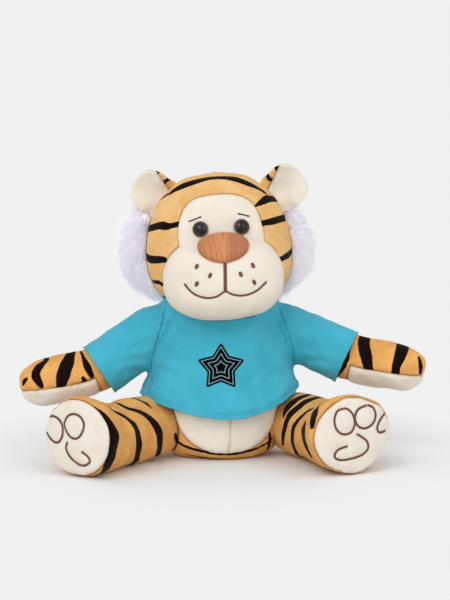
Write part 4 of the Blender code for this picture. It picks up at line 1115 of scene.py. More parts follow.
# Whisker dots: satin threads side by side. Sizes are half of a dot's, in the photograph's pixels
DOT_ACROSS, DOT_HIGH, DOT_LEAN, DOT_THREADS, DOT_THICK = 1.75, 2.7, 0.30, 8, 0.00020
points, starts = [], []
for u, v in DOTS:
    lean = -DOT_LEAN if u < FRAME_WIDTH / 2 else DOT_LEAN
    for across in np.linspace(-0.86, 0.86, DOT_THREADS):
        half = DOT_HIGH * math.sqrt(1 - across ** 2)
        ends = [(u + across * DOT_ACROSS + lean * s, v + s) for s in np.linspace(-half, half, 7)]
        line = seen(front_tree, ends)
        rise = 0.00022 + 0.00030 * np.sin(np.linspace(0, math.pi, len(line)))[:, None]
        starts.append(len(points))
        points.extend(line - np.array(FORWARD) * rise)
from_lines("whisker_dots", STRANDS, points, starts, "head", {"thick": [DOT_THICK] * len(points)}, Sides=6,
           Material=mouth_thread)


# Eyes

def eye_place(side):
    """The eye's frame, on the head's front, with Z out."""
    line = head_line()

    def reach(p):
        wide = float(width_at(line, p.z))
        return math.hypot(p.x / wide, (p.y + HEAD_FORWARD) / (wide * HEAD_DEPTH / HEAD_WIDTH))

    wide = float(width_at(line, EYE_Z))
    y = -wide * HEAD_DEPTH / HEAD_WIDTH * math.sqrt(1 - (EYE_X / wide) ** 2) - HEAD_FORWARD
    p = Vector((side * EYE_X, y, EYE_Z))
    steps = (Vector(step) for step in ((0.0003, 0, 0), (0, 0.0003, 0), (0, 0, 0.0003)))
    out = Vector([reach(p + step) - reach(p - step) for step in steps])
    return HEAD @ frame_matrix(p + out.normalized() * EYE_STANDOFF, out, UP)


for index, side, label in SIDES:
    turn = np.linspace(0, math.pi / 2, 40)
    dome = np.column_stack([EYE_RADIUS * np.sin(turn), EYE_DOME * np.cos(turn)])
    edge = [(EYE_RADIUS, -0.0003), (EYE_RADIUS - 0.0003, -0.0008), (EYE_RADIUS - 0.0012, -0.0011), (0, -0.0011)]
    form = turned(np.vstack([dome, edge]), 110, 72)
    ring = np.hypot(form.points[:, 0], form.points[:, 1]) / EYE_RADIUS
    form.values["ring"] = np.where(form.points[:, 2] < -0.0001, 1.0, ring)
    add_piece("glossy_" + label + "_eye", form.placed(eye_place(side)), eye_gloss, "head", (label + "_eye",))


# Nose: a padded shape under satin stitch

NOSE_TURN, NOSE_FLARE = -38, 0.12
SATIN_ROWS, SATIN_POINTS, RIDGE_POINTS = 46, 15, 22


def nose_point(x, turn):
    """A point on the nose's pad: x across it as a share, and a turn over it from below."""
    wide = np.sqrt(np.maximum(1 - x ** 2, 0))
    z = NOSE_SIZES[2] * wide * np.sin(turn)
    flare = 1 + NOSE_FLARE * z / NOSE_SIZES[2]
    return np.column_stack([NOSE_SIZES[0] * x * flare, -NOSE_SIZES[1] * wide * np.cos(turn), z])


def nose_placed(points, lift=0.0):
    """Points of the pad on the head, or above its skin where the pad lies inside it."""
    tilt = np.array(Matrix.Rotation(math.radians(NOSE_TURN), 3, "X"))
    away = points @ tilt.T + NOSE_PLACE - HEAD_CENTRE
    reach = np.linalg.norm(away, axis=1)
    ways = away / reach[:, None]
    skin = np.maximum(*head_reach(ways)) + 0.0002 + lift
    return moved(HEAD_CENTRE + ways * np.maximum(reach + lift, skin)[:, None], HEAD)


pad = ball_form(5)
x, y, z = pad.points.T
pad.points = nose_placed(np.column_stack([x * (1 + NOSE_FLARE * z), y, z]) * NOSE_SIZES)
add_piece("nose_pad", pad.given("tint", 0.35), nose_thread, "head", ("nose",))

rng = np.random.default_rng(7)
points, starts, thick, tint = [], [], [], []
turn = np.linspace(-1.42, 1.35, SATIN_POINTS)
for half in (-1, 1):
    for k in range(SATIN_ROWS):
        share = (k + 0.5) / SATIN_ROWS
        lean = 0.08 * half * (1 - share) * np.sin(turn)
        line = nose_point(np.clip(half * share * 0.985 + lean * (1 - share), -0.99, 0.99), turn)
        ridge = math.exp(-(share / 0.11) ** 2)
        group = rng.uniform(0.30, 0.56) if k % 2 == 0 else group
        # Each strand's tint is random in pairs, with a painted highlight along the middle ridge, painted light on the
        # left half and painted shade towards the outer sides
        shade = group + rng.uniform(-0.06, 0.06) + 0.35 * ridge - 0.10 * half - 0.22 * share ** 3
        starts.append(len(points))
        points.extend(nose_placed(line, 0.00012 + 0.0003 * ridge))
        thick.extend(0.00030 * np.clip(1.25 - np.abs(turn / 1.55) ** 5, 0.5, 1))
        tint.extend([shade] * SATIN_POINTS)
# The ridge strand is painted near its palest, as a highlight
ridge_line = nose_point(np.zeros(RIDGE_POINTS), np.linspace(-1.5, 1.45, RIDGE_POINTS))
starts.append(len(points))
points.extend(nose_placed(ridge_line, 0.00045))
thick.extend([0.00050] * RIDGE_POINTS)
tint.extend([0.95] * RIDGE_POINTS)
from_lines("nose_satin", STRANDS, points, starts, "head", {"thick": thick, "tint": tint}, Sides=6,
           Material=nose_thread)


# Ears: the striped back is carried round over each ear's inner edge

EAR_RIM = 0.60
EAR_SHIFT = ((0, 0.0016, -0.0019), (0, -0.0001, 0.0015))
EAR_BANDS = ((4.5, 1.3), (12.5, 1.5), (20.5, 1.2))


def ear_form(side):
    """An ear: its front hollowed, its root cupped, and the stripes of its back."""
    form = puffed(EAR_SIZES, EAR_POWER, 6)
    x, y, z = form.points.T.copy()
    thick, wide, high = EAR_SIZES
    front = np.clip(x / thick * 1.6, 0, 1)
    form.points[:, 0] -= 0.0034 * front * np.clip(1 - np.hypot(y / wide, z / high) ** 2 * 1.1, 0, 1)
    waves = 0.0006 * ripple(form.points, 0.013, 5 + side) * front
    form.points[:, 0] = form.points[:, 0] * (1 - 0.25 * (x < 0)) + waves
    upper = np.clip(z / high * 0.8 + 0.35, 0, 1)
    form.points[:, 1] *= np.where(side * y < 0, 1 + 0.12 * upper, 0.97)
    form.points[:, 2] += EAR_Z
    rise = np.clip(form.points[:, 2] / EAR_Z, 0, 1)
    form.points[:, 0] += EAR_CUP * rise * (form.points[:, 1] / wide) ** 2
    rim = EAR_RIM + 0.94 * side * y / wide + 0.34 * z / high
    form.values["front"] = np.minimum(x * 1000, rim * wide * 1000)
    form.values["stripe"] = banded(form.points[:, 2] * 1000 + 1.2 * np.sin(y * 400), EAR_BANDS)
    return form


for index, side, label in SIDES:
    form = ear_form(side)
    sewn(form, cut_line(form, form.values["front"]), 0.0007, 0.0012, 0.00018, 20 + index)
    form.points += EAR_SHIFT[index]
    form.placed(ear_hinge(index, side))
    back_part, front_part = form.cut(form.values["front"])
    front_part.given("stripe", NO_STRIPE)
    add_piece("plush_" + label + "_ear_back", back_part, orange_head, label + "_ear", (label + "_ear_back",))
    add_piece("plush_" + label + "_ear_front", front_part, cream_head, label + "_ear", (label + "_ear_front",))


# Cheek ruffs

FUR_SIZES = ((0.0158, 0.0150, 0.0308), (0.0136, 0.0150, 0.0300))
FUR_RISE = (0.0048, 0.0010)
FUR_DEPTH = 0.0046
STRAND_COUNT, STRAND_POINTS, LOCK_COUNT = 8200 if FINE else 6000, 5, 300


def unit(ways):
    return ways / np.linalg.norm(ways, axis=1)[:, None]


def off_skin(points, gap, muzzle=False):
    """Points in the head's own frame, moved out where they lie inside the head."""
    away = points - HEAD_CENTRE
    reach = np.linalg.norm(away, axis=1)
    egg, snout = head_reach(away / reach[:, None])
    skin = (np.maximum(egg, snout) if muzzle else egg) + gap
    return HEAD_CENTRE + away * (np.maximum(reach, skin) / reach)[:, None]


def hugging(points, side, middle):
    """Follows the head's side in above and below a ruff's middle."""
    line, z = head_line(), points[:, 2]
    change = width_at(line, np.clip(z, 0.002, 0.080)) - float(width_at(line, middle))
    points[:, 0] += side * change * np.where(z < middle, 0.85, 0.35)
    return points


def ruff(index, side, label):
    """Long fur down the side of the head, in soft locks that turn out and down."""
    rng = np.random.default_rng(40 + index)
    level = np.array([side * (float(width_at(head_line(), RUFF_Z)) + RUFF_OUT), RUFF_BACK, RUFF_Z + FUR_RISE[index]])
    outer = np.array(FUR_SIZES[index])
    inner = outer - FUR_DEPTH
    core = puffed(inner, 2.2, 6)
    core.push(ripple(core.points, 0.0075, 50 + index, 2) * 0.0009)
    core.points = off_skin(hugging(core.points + level, side, level[2]), 0.0004)
    # The base takes a little of the roots' painted shade
    core.given("along", 0.35).given("tint", 0.6)

    ways = unit(rng.normal(size=(STRAND_COUNT * 2, 3)))
    ways = ways[ways[:, 0] * side > -0.30 - 0.50 * np.clip(ways[:, 1], 0, 1)][:STRAND_COUNT]
    flow = unit(ways + (side * 0.24, 0.04, -0.20) + rng.normal(size=ways.shape) * 0.09)
    locks = rng.choice(len(ways), LOCK_COUNT, replace=False)
    lock = locks[np.linalg.norm(ways[:, None] - ways[None, locks], axis=2).argmin(axis=1)]
    flow = unit(flow * 0.64 + flow[lock] * 0.36)
    reach = 1.0 + rng.uniform(-0.16, 0.13, len(ways)) + rng.uniform(-0.08, 0.07, len(ways))[lock]
    reach = (reach + 0.20 * (rng.uniform(size=len(ways)) < 0.10))[:, None]
    root = level + ways * inner * 0.95
    tip = level + flow * outer * reach + (0, 0, -0.0006)
    middle = level + unit(ways + flow) * (inner * 0.3 + outer * 0.7)
    steps = np.linspace(0, 1, STRAND_POINTS)
    s = steps[:, None, None]
    lines = (1 - s) ** 2 * root + 2 * s * (1 - s) * middle + s ** 2 * tip
    lines = hugging(lines.transpose(1, 0, 2).reshape(-1, 3), side, level[2])
    points = moved(off_skin(lines, 0.0002), HEAD)
    along = np.tile(steps, len(ways))
    tint = np.repeat(rng.uniform(0, 1, len(ways)), STRAND_POINTS)
    from_lines(label + "_ruff_fur", STRANDS, points, range(0, len(points), STRAND_POINTS), "head",
               {"thick": 0.00021 * (1.06 - along ** 1.3), "along": along, "tint": tint}, Sides=3,
               Material=white_fur)
    add_piece(label + "_ruff_base", core.placed(HEAD), white_fur, "head", (label + "_cheek_ruff",))


for index, side, label in SIDES:
    ruff(index, side, label)


# Torso

def torso_at(degrees, height):
    """A point on the torso, by its turn from the front and its height."""
    return TORSO @ torso_spot(degrees, height)[0]


LEG_TOP, LEG_ANKLE, ARM_TOP = 0.0200, 0.0206, 0.0146


def leg_drop(radius):
    """How far the leg's middle sinks where it is thinner than the foot, so that it lies on the floor."""
    return (LEG_FOOT - radius) * 0.85


def make_torso():
    form = turned(torso_line(), 150, 180)
    form.points[:, 1] *= TORSO_DEPTH / TORSO_WIDTH
    x, y, z = form.points.T.copy()
    wide, high = BELLY_WIDTH + 0.0030, BELLY_HEIGHT + 0.0022
    shape = np.abs(x / wide) ** BELLY_POWER + np.abs((z - BELLY_Z) / high) ** BELLY_POWER
    form.values["belly"] = np.where(y > 0, 20.0, (shape ** (1 / BELLY_POWER) - 1) * 34)
    form.values["across"] = x * 1000 - 1.2 * np.sin(z * 70)
    return form.placed(TORSO)


torso = make_torso()
torso_tree = torso.tree()
BACK_BANDS = ((0.010, 118, 172), (0.021, 108, 168), (0.033, 122, 176), (0.046, 112, 170), (0.060, 120, 174))
BELLY_LINES = (
    (((172, 434), (175.9, 440.6), (184, 446), (196.5, 450.4), (210, 453.4), (225.2, 454.5), (240, 453.3),
      (254, 450), (266, 443.8), (273, 437)), (2, 3.2, 3.2, 3.0, 3.0, 3.4, 3.2, 3.0, 2.6, 1.6)),
    (((183, 454.2), (192, 456.6), (206, 458.6), (226.6, 459.4)), (1.2, 2.6, 2.8, 1.8)),
    (((270.5, 431), (270, 441), (267.7, 452)), (2.0, 4.0, 2.0)),
)
stripes = [drawn(torso_tree, pixels, widths) for pixels, widths in BELLY_LINES]
for level, first, last in BACK_BANDS:
    for turns in (np.linspace(first, last, 40), np.linspace(360 - first, 360 - last, 40)):
        halves = 0.0020 * np.sin(np.linspace(0.1, 2.6, 40))
        stripes.append(np.array([
            (*torso_at(t, level + 0.0022 * math.sin(k / 9)), h) for k, (t, h) in enumerate(zip(turns, halves))]))
torso.values["stripe"] = depth_inside(torso.points, stripes)
belly_edge = cut_line(torso, torso.values["belly"])
belly_only = torso.cut(torso.values["belly"])[0]
middle_edge = cut_line(belly_only, belly_only.values["across"])
back_line = np.array([torso_at(180, z) for z in np.linspace(0.004, 0.09, 90)])
seams = np.vstack([belly_edge, middle_edge, back_line])
made_up(torso, seams, "torso", 31, 32)
for index, side, label in SIDES:
    inward = TORSO.to_3x3() @ Vector((-side, 0, 0))
    socket(torso, hip(index, side).translation - UP * leg_drop(LEG_TOP), LEG_TOP + 0.0012, inward)
    socket(torso, shoulder(index, side).translation, SHOULDER_R + 0.0004, inward)
torso.points[:, 2] = np.maximum(torso.points[:, 2], 0.0)
belly, back = torso.cut(torso.values["belly"])
left_belly, right_belly = belly.given("stripe", NO_STRIPE).cut(belly.values["across"])
add_piece("plush_back", back, orange_body, "torso", ("back_cover", "torso_filling"))
add_piece("plush_left_belly", left_belly, brightened_cream_belly, "torso", ("left_belly_panel",))
add_piece("plush_right_belly", right_belly, brightened_cream_belly, "torso", ("right_belly_panel",))


# Neck: gathered plush between head and torso

NECK_R, NECK_GATHERS = 0.0172, 22
neck = puffed((NECK_R, NECK_R, NECK_R), 2.0, 5)
gathers = np.sin(np.arctan2(neck.points[:, 1], neck.points[:, 0]) * NECK_GATHERS)
neck.push(0.0005 * gathers * (1 - (neck.points[:, 2] / NECK_R) ** 2))
# Painted shade: the gathers' hollows are a little darker
neck.given("stripe", NO_STRIPE).values["seam"] = 3.0 + 1.5 * gathers
add_piece("plush_neck", neck.placed(Matrix.Translation(NECK)), orange_body, "neck", ("neck_filling",))


# Limbs

class Limb:
    """A stuffed limb, turned about its own line, that stripes are carried round."""

    def __init__(self, line, rows, sides, matrix, shape, boldness):
        self.line, self.matrix, self.shape, self.boldness = line, matrix, shape, boldness
        self.form = turned(line, rows, sides)
        self.flat = self.form.points.copy()
        self.form.points = shape(self.form.points)
        self.form.placed(matrix)
        self.tree = self.form.tree()
        self.nearest = nearest_of(self.form.points)

    def spot(self, degrees, along):
        """A point on the limb, by its turn about the limb's line and its place along it."""
        r, t = float(width_at(self.line, along)), math.radians(degrees)
        return moved(self.shape(np.array([[r * math.cos(t), r * math.sin(t), along]])), self.matrix)[0]

    def where(self, spot):
        """The turn and the place of a point on the limb."""
        x, y, z = self.flat[self.nearest.find(spot[:3])[1]]
        return math.degrees(math.atan2(y, x)), z

    def carried(self, line, turn):
        """A line carried on round the limb, tapering to nothing."""
        if len(line) < 8 or not turn:
            return line
        before, last = self.where(line[-7]), self.where(line[-1])
        way = 1 if (last[0] - before[0] + 180) % 360 - 180 > 0 else -1
        more = [(*self.spot(last[0] + way * turn * s, last[1]), line[-1, 3] * (1 - s ** 2))
                for s in np.linspace(0, 1, 20)[1:]]
        return np.vstack([line, more])

    def stripe(self, pixels, widths, at_start, at_end):
        line = self.carried(drawn(self.tree, pixels, [w * self.boldness for w in widths]), at_end)
        return self.carried(line[::-1], at_start)

    def band(self, along, first, last, half, drift):
        """A stripe round a hidden side, between two turns."""
        return np.array([
            (*self.spot(first + (last - first) * s, along + drift * math.sin(s * 3)),
             half * math.sin(math.pi * s) ** 0.5) for s in np.linspace(0.02, 0.98, 40)])


def leg_line():
    line = [(r * LEG_FOOT, LEG_LENGTH + z * SOLE_DOME) for r, z in ((0, 1), (0.5, 0.75), (0.9, -0.2))]
    line += [(r * LEG_FOOT, LEG_LENGTH - z * LEG_FOOT) for r, z in ((1, 0.30), (0.93, 0.72))]
    line += [(LEG_ANKLE, LEG_LENGTH * 0.48), (LEG_ANKLE, LEG_LENGTH * 0.25), (LEG_TOP, 0)]
    return np.vstack([smooth_line(line), ball_arc(LEG_TOP, math.pi / 2, math.pi, 24)])


FOOT_SPREAD = (0.05, 0.12)


def leg_shape(points, widening):
    """Lets the thinner part of a leg, that lies along Z with X up, rest on the floor, and widens its foot."""
    out = points.copy()
    out[:, 1] *= 1 + widening * eased((points[:, 2] / LEG_LENGTH - 0.50) / 0.45)
    out[:, 0] -= leg_drop(width_at(leg_line(), np.clip(points[:, 2], 0, LEG_LENGTH * 0.9)))
    return out


def arm_line():
    paw = [(r * ARM_PAW, ARM_LENGTH - z * ARM_PAW) for r, z in ((0, 0), (0.55, 0.14), (0.92, 0.75), (1, 1.6))]
    line = smooth_line(paw + [(ARM_WAIST, SLEEVE_LENGTH), (ARM_TOP, 0)])
    return np.vstack([line, ball_arc(ARM_TOP, math.pi / 2, math.pi, 20)])


LEG_STRIPES = (
    (
        (((79.9, 402.4), (97.7, 414.2), (108.7, 428.8), (115.6, 443.5), (112.8, 460), (104.6, 473.7)),
         (5, 7, 9, 10, 8, 7), 45, 50),
        (((112.8, 409.6), (127.9, 418.9), (137.5, 435.3), (140.2, 451.8), (134.8, 467.5)),
         (3, 4.5, 5.5, 5.5, 4.5), 60, 60),
        (((127.9, 406.9), (147.1, 417.5), (159.4, 432.6), (160.8, 446.3), (155.3, 462.2)),
         (4, 4.5, 5.5, 5.5, 4), 50, 60),
        (((140.2, 400.7), (147, 404), (152.6, 409.3)), (2, 3, 1), 30, 0),
        (((175.2, 435), (177.2, 443), (177.2, 451.8), (174.5, 457.3)), (1.5, 3.2, 3.2, 2), 0, 0),
    ),
    (
        (((299.3, 388.3), (289.7, 393.8)), (2.5, 4.5), 0, 0),
        (((308.9, 395.2), (299, 399), (292.4, 403.4), (286.5, 411), (284.2, 418.5)), (3, 6, 7.5, 6, 1.5), 30, 0),
        (((321.2, 396.6), (309, 400), (300.6, 405.2), (291.5, 414), (286.9, 424.4), (283.2, 435), (281.8, 446.3)),
         (4, 5, 5.5, 5.5, 5, 4, 2), 40, 0),
        (((311.6, 407.9), (304, 413), (295.2, 427.1), (292.4, 443.5), (297.9, 458), (309, 467.8), (322, 471.5),
          (331, 472.3)), (3, 4, 4, 4, 4, 4, 4, 3), 0, 10),
        (((304.8, 425.1), (303.2, 434), (303.8, 444), (308.5, 455.5)), (5, 11, 12, 6), 0, 0),
        (((328.1, 399.3), (318, 406), (313.4, 414), (311.6, 426.4)), (3, 6, 6.5, 3), 0, 0),
        (((350, 391.8), (356, 391.6), (363.7, 393.2)), (3, 5, 3), 0, 0),
    ),
)
TOES = (
    (
        ((45.6, 421.6), (49, 417.2), (54, 416.2), (59.5, 420), (62.6, 427), (62.3, 436), (58.6, 442.2), (53.5, 441.4),
         (48.3, 435), (45.6, 427.5), (45.8, 421.4)),
        ((64.4, 423), (67.5, 416.5), (73.8, 414), (80.5, 417), (84, 424.5), (82, 433), (77, 438.5), (71, 437.4),
         (66.6, 431.5), (64.4, 425), (64.6, 422.6)),
        ((67.6, 442.2), (66.2, 449), (71.7, 458.6), (81.8, 465.5), (89.5, 462.7), (88.4, 457.3), (81.8, 451.8)),
    ),
    (
        ((344.5, 408.5), (337.5, 411), (334.4, 419.5), (336.3, 429), (342.5, 434.2), (350.6, 432.6), (354.6, 424.5),
         (353, 415), (348.3, 409.6), (344.5, 408.3)),
        ((366, 405.4), (358, 409.5), (354.9, 417.5), (357.5, 425.5), (364.6, 428.4), (372.4, 424), (375.6, 415.3),
         (373, 407.5), (367.5, 405.2)),
        ((388.0, 409.5), (381.5, 417.5), (377.2, 427), (379.2, 432.4), (385.0, 430.8)),
        ((356.9, 434), (366.5, 440.8), (367.8, 449), (359.6, 455.9), (343.1, 460), (334.6, 457.3), (337.7, 450),
         (347.3, 446.3)),
    ),
)
ARM_STRIPES = (
    (
        (((84, 356.5), (87.5, 365), (92.3, 375.5)), (2.5, 5.5, 4), 30, 0),
        (((72.5, 354), (66.5, 366), (62.8, 378), (61.4, 386)), (7, 10, 10, 7), 60, 0),
        (((47.6, 359.5), (39.5, 366.5), (35.6, 375), (41.5, 386)), (4, 6.5, 7, 4), 55, 0),
        (((27, 378.5), (23.8, 381), (22.6, 384)), (2, 4, 3), 0, 0),
        (((83.6, 377.7), (88, 387), (92.3, 397)), (3, 5, 5), 0, 40),
    ),
    (
        (((347.5, 351), (345.9, 357), (343.3, 365)), (3, 5, 3), 30, 0),
        (((344.5, 365.4), (338, 372), (332.6, 380)), (3, 4.5, 4), 0, 30),
        (((362.3, 342.5), (365, 354), (367.5, 366), (369.4, 376)), (9, 9, 7.5, 6), 60, 0),
        (((402.2, 346.5), (399.3, 357), (395.8, 367), (395.2, 377.4)), (10, 8.5, 6.5, 6), 60, 0),
        (((418.4, 357.5), (420.4, 365), (420.6, 373)), (2.5, 4.5, 3), 0, 0),
    ),
)


# Bands round the limbs' hidden sides: the place along the limb, and the half width
LEG_BANDS = ((0.060, 0.0022), (0.044, 0.0019), (0.029, 0.0021), (0.014, 0.0018))
ARM_BANDS = ((0.052, 0.0021), (0.064, 0.0018), (0.077, 0.0021))


def make_leg(index, side, label):
    leg = Limb(leg_line(), 150, 140, hip(index, side), lambda points: leg_shape(points, FOOT_SPREAD[index]), 1.45)
    form, body, hidden = leg.form, label + "_leg", 180 + 90 * side
    stripes = [leg.stripe(*stripe) for stripe in LEG_STRIPES[index]]
    stripes += [leg.band(along, hidden - 62, hidden + 70, half, 0.003) for along, half in LEG_BANDS]
    form.values["stripe"] = depth_inside(form.points, stripes)
    form.values["split"] = (leg.flat[:, 2] - (LEG_LENGTH + SOLE_DOME - SOLE_DEPTH)) * 1000
    toes = [drawn(leg.tree, line) for line in TOES[index]]
    under = np.array([leg.spot(180, a) for a in np.linspace(0.0, 0.071, 120)])
    seams = np.vstack([cut_line(form, form.values["split"]), under])
    made_up(form, seams, "leg", 60 + index, 62 + index)
    pressed(form, toes, 0.0009, 0.0025)
    form.points[:, 2] = np.maximum(form.points[:, 2], 0.0)
    cover, sole = form.cut(form.values["split"])
    sole.given("stripe", NO_STRIPE)
    add_piece("plush_" + body, cover, orange_body, body, (body + "_cover", body + "_filling"))
    add_piece("plush_" + label + "_sole", sole, cream_body, body, (label + "_sole",))
    tree = sole.tree()
    embroider(label + "_toe_embroidery", sole, [drawn(tree, line) for line in TOES[index]], body, mouth_thread,
              TOE_STITCH)


def make_arm(index, side, label):
    shape = lambda points: bend(points, ARM_ELBOW, ARM_BEND_LENGTH, ARM_BEND[index])
    arm = Limb(arm_line(), 150, 112, shoulder(index, side), shape, 1.15)
    form, body = arm.form, label + "_arm"
    stripes = [arm.stripe(*stripe) for stripe in ARM_STRIPES[index]]
    stripes += [arm.band(along, -side * 150, -side * 30, half, 0.002) for along, half in ARM_BANDS]
    form.values["stripe"] = depth_inside(form.points, stripes)
    form.values["palm"] = np.maximum(arm.flat[:, 0] + PALM_DROP, PALM_START - arm.flat[:, 2]) * 1000
    made_up(form, cut_line(form, form.values["palm"]), "arm", 70 + index, 72 + index)
    palm, cover = form.cut(form.values["palm"])
    palm.given("stripe", NO_STRIPE)
    add_piece("plush_" + body, cover, orange_body, body, (body + "_cover", body + "_filling"))
    add_piece("plush_" + label + "_palm", palm, cream_body, body, (label + "_palm_panel",))
    return form


for index, side, label in SIDES:
    make_leg(index, side, label)
arms = [make_arm(index, side, label) for index, side, label in SIDES]


# Tail

TAIL_BANDS, TAIL_TIP = ((12, 1.5), (22.5, 1.7), (33, 1.6), (43.5, 1.8), (54, 1.7)), 64


def make_tail():
    line = [(r * TAIL_R, TAIL_LENGTH - z * TAIL_R) for r, z in ((0, 0), (0.7, 0.3), (1.05, 1.3))]
    line += [(TAIL_R * 0.95, TAIL_LENGTH * 0.5), (TAIL_R, 0)]
    line = np.vstack([smooth_line(line), ball_arc(TAIL_R, math.pi / 2, math.pi)])
    form = turned(line, 120, 64)
    x, y, z = form.points.T.copy()
    wave = z * 1000 + 0.9 * np.sin(np.arctan2(y, x) * 2 + z * 150)
    form.values["stripe"] = np.maximum(banded(wave, TAIL_BANDS), wave - TAIL_TIP)
    form.values["under"] = y * 1000
    form.points = bend(form.points, TAIL_STRAIGHT, TAIL_BEND_LENGTH, TAIL_BEND)
    return form.placed(tail_root())


tail = make_tail()
edge = cut_line(tail, tail.values["under"])
filled(tail, edge, 0.0006, 0.003)
sewn(tail, edge, 0.0006, 0.0010, 0.0002, 80)
tail.points[:, 2] = np.maximum(tail.points[:, 2], 0.0)
upper, lower = tail.cut(tail.values["under"])
add_piece("plush_tail_upper", upper, orange_body, "tail", ("tail_upper_panel",))
add_piece("plush_tail_lower", lower, orange_body, "tail", ("tail_lower_panel", "tail_filling"))


# Shirt

HEM_FRONT, HEM_SIDES, HEM_BACK = 0.0302, (0.0408, 0.0462), 0.0330
HEM_ROWS = (0.0034, 0.0044)
COLLAR_LEVELS = (0.0926, 0.1044, 0.0990)
SHIRT_TOP, SHIRT_END, SLEEVE_INSIDE, SLEEVE_END, CUFF_R = 0.108, 0.020, -0.006, 0.056, 0.0160


def shirt_body():
    """A plain closed form that the shirt's body lies on, flared towards its hem."""
    levels = np.linspace(SHIRT_TOP, SHIRT_END, 60)
    collar = np.interp(levels, (0.080, 0.090, 0.098, SHIRT_TOP), (0.034, 0.0345, 0.0362, 0.0395))
    wide = np.maximum(width_at(torso_line(), levels) + 0.0022, collar * (levels > 0.078))
    wide = np.convolve(np.pad(wide, 4, "edge"), np.ones(9) / 9, "valid")
    wide += 0.0092 * np.clip((0.080 - levels) / 0.046, 0, 1) ** 1.9
    form = turned(np.vstack([[0, SHIRT_TOP], np.column_stack([wide, levels]), [0, SHIRT_END]]), 90, 120)
    form.points[:, 1] *= TORSO_DEPTH / TORSO_WIDTH
    form.points[:, 1] -= 0.0012 * (form.points[:, 1] < 0)
    return form.placed(TORSO)


def sleeve_core(index, side):
    """A closed form inside the sleeve, from inside the body out past the cuff."""
    levels = np.linspace(SLEEVE_END, SLEEVE_INSIDE, 30)
    wide = np.interp(levels, (SLEEVE_INSIDE, 0, 0.02, 0.042, SLEEVE_END), (CUFF_R, 0.0168, 0.0171, 0.0181, 0.0190))
    root = ball_arc(CUFF_R, math.pi / 2, math.pi) + (0, SLEEVE_INSIDE)
    line = np.vstack([[0, SLEEVE_END], np.column_stack([wide, levels]), root])
    return turned(line, 70, 72).placed(shoulder(index, side))


def merged(forms, cell):
    """One skin round several closed forms."""
    joined = forms[0]
    for form in forms[1:]:
        joined = joined.joined(form)
    obj = voxelled(mesh_object("skin", joined.points, joined.faces), cell)
    obj.modifiers.new("Triangulate", "TRIANGULATE")
    points, faces = read_back(applied(obj).data)
    bpy.data.objects.remove(obj)
    return Form(points, faces)


def hem_level(around):
    """The hem's height at a turn round the body from the front."""
    end, edge = np.where(np.cos(around) > 0, HEM_FRONT, HEM_BACK), np.where(around < 0, *HEM_SIDES)
    return edge + (end - edge) * np.cos(around) ** 2


def shirt_fields(form):
    """Where each point of the shirt lies against its hem, collar, cuffs and seams, in millimetres."""
    local = form.points @ np.array(TORSO.to_3x3())
    around = np.arctan2(local[:, 0], -local[:, 1])
    hem = hem_level(around)
    front, side, back = COLLAR_LEVELS
    collar = front + (side - front) * eased((np.abs(around) - 0.42) / 0.90)
    collar += (back - side) * eased((np.abs(around) - 1.9) / 1.1)
    collar += 0.0012 * np.clip(local[:, 0] / 0.03, -0.3, 1)
    cuffs = []
    for index, side, _ in SIDES:
        place = np.array(shoulder(index, side))
        along = (form.points - place[:3, 3]) @ place[:3, 2]
        cuffs.append(np.where(form.points[:, 0] * side > 0.040, along, -1.0))
    high = form.points[:, 2]
    raglan = np.abs(local[:, 0]) - np.interp(high, (0.045, 0.062, 0.080, 0.104), (0.0475, 0.0468, 0.0430, 0.0355))
    for name, value in (
        ("hem", high - hem), ("collar", collar - high), ("cuff", SLEEVE_LENGTH - np.maximum(*cuffs)),
        ("raglan", raglan), ("front", -local[:, 1]), ("across", local[:, 0]),
    ):
        form.values[name] = value * 1000
    form.values["turn"] = around
    return form


def shirt_skin(cell, rounds):
    """The shirt as one open skin of even cells, with its values."""
    form = merged([shirt_body()] + [sleeve_core(index, side) for index, side, _ in SIDES], cell)
    form = shirt_fields(form.smoothed(rounds).outward())
    for name in ("hem", "collar", "cuff"):
        form = form.cut(form.values[name])[1]
    return form


def off_the_head(form, gap):
    """Moves points that lie in the chin's room out to its surface."""
    form.placed(HEAD.inverted())
    form.points = off_skin(form.points, gap, muzzle=True)
    return form.placed(HEAD)


shirt = off_the_head(shirt_skin(0.0017, 14), 0.0008)
shirt_tree = shirt.tree()


def fold(form, line, depth, width):
    """A soft fold along a line: a hollow with a rounded ridge to each side."""
    tree = nearest_of(line[:, :3])
    found = [tree.find(p) for p in form.points]
    gap = np.array([f[2] for f in found]) / width
    share = np.array([f[1] for f in found]) / (len(line) - 1)
    strength = np.sin(np.pi * np.clip(share, 0.04, 0.96)) ** 0.7
    wave = np.cos(np.clip(gap, 0, 3) * math.pi) * np.exp(-gap ** 1.4 * 1.1)
    return form.push(-depth * wave * strength)


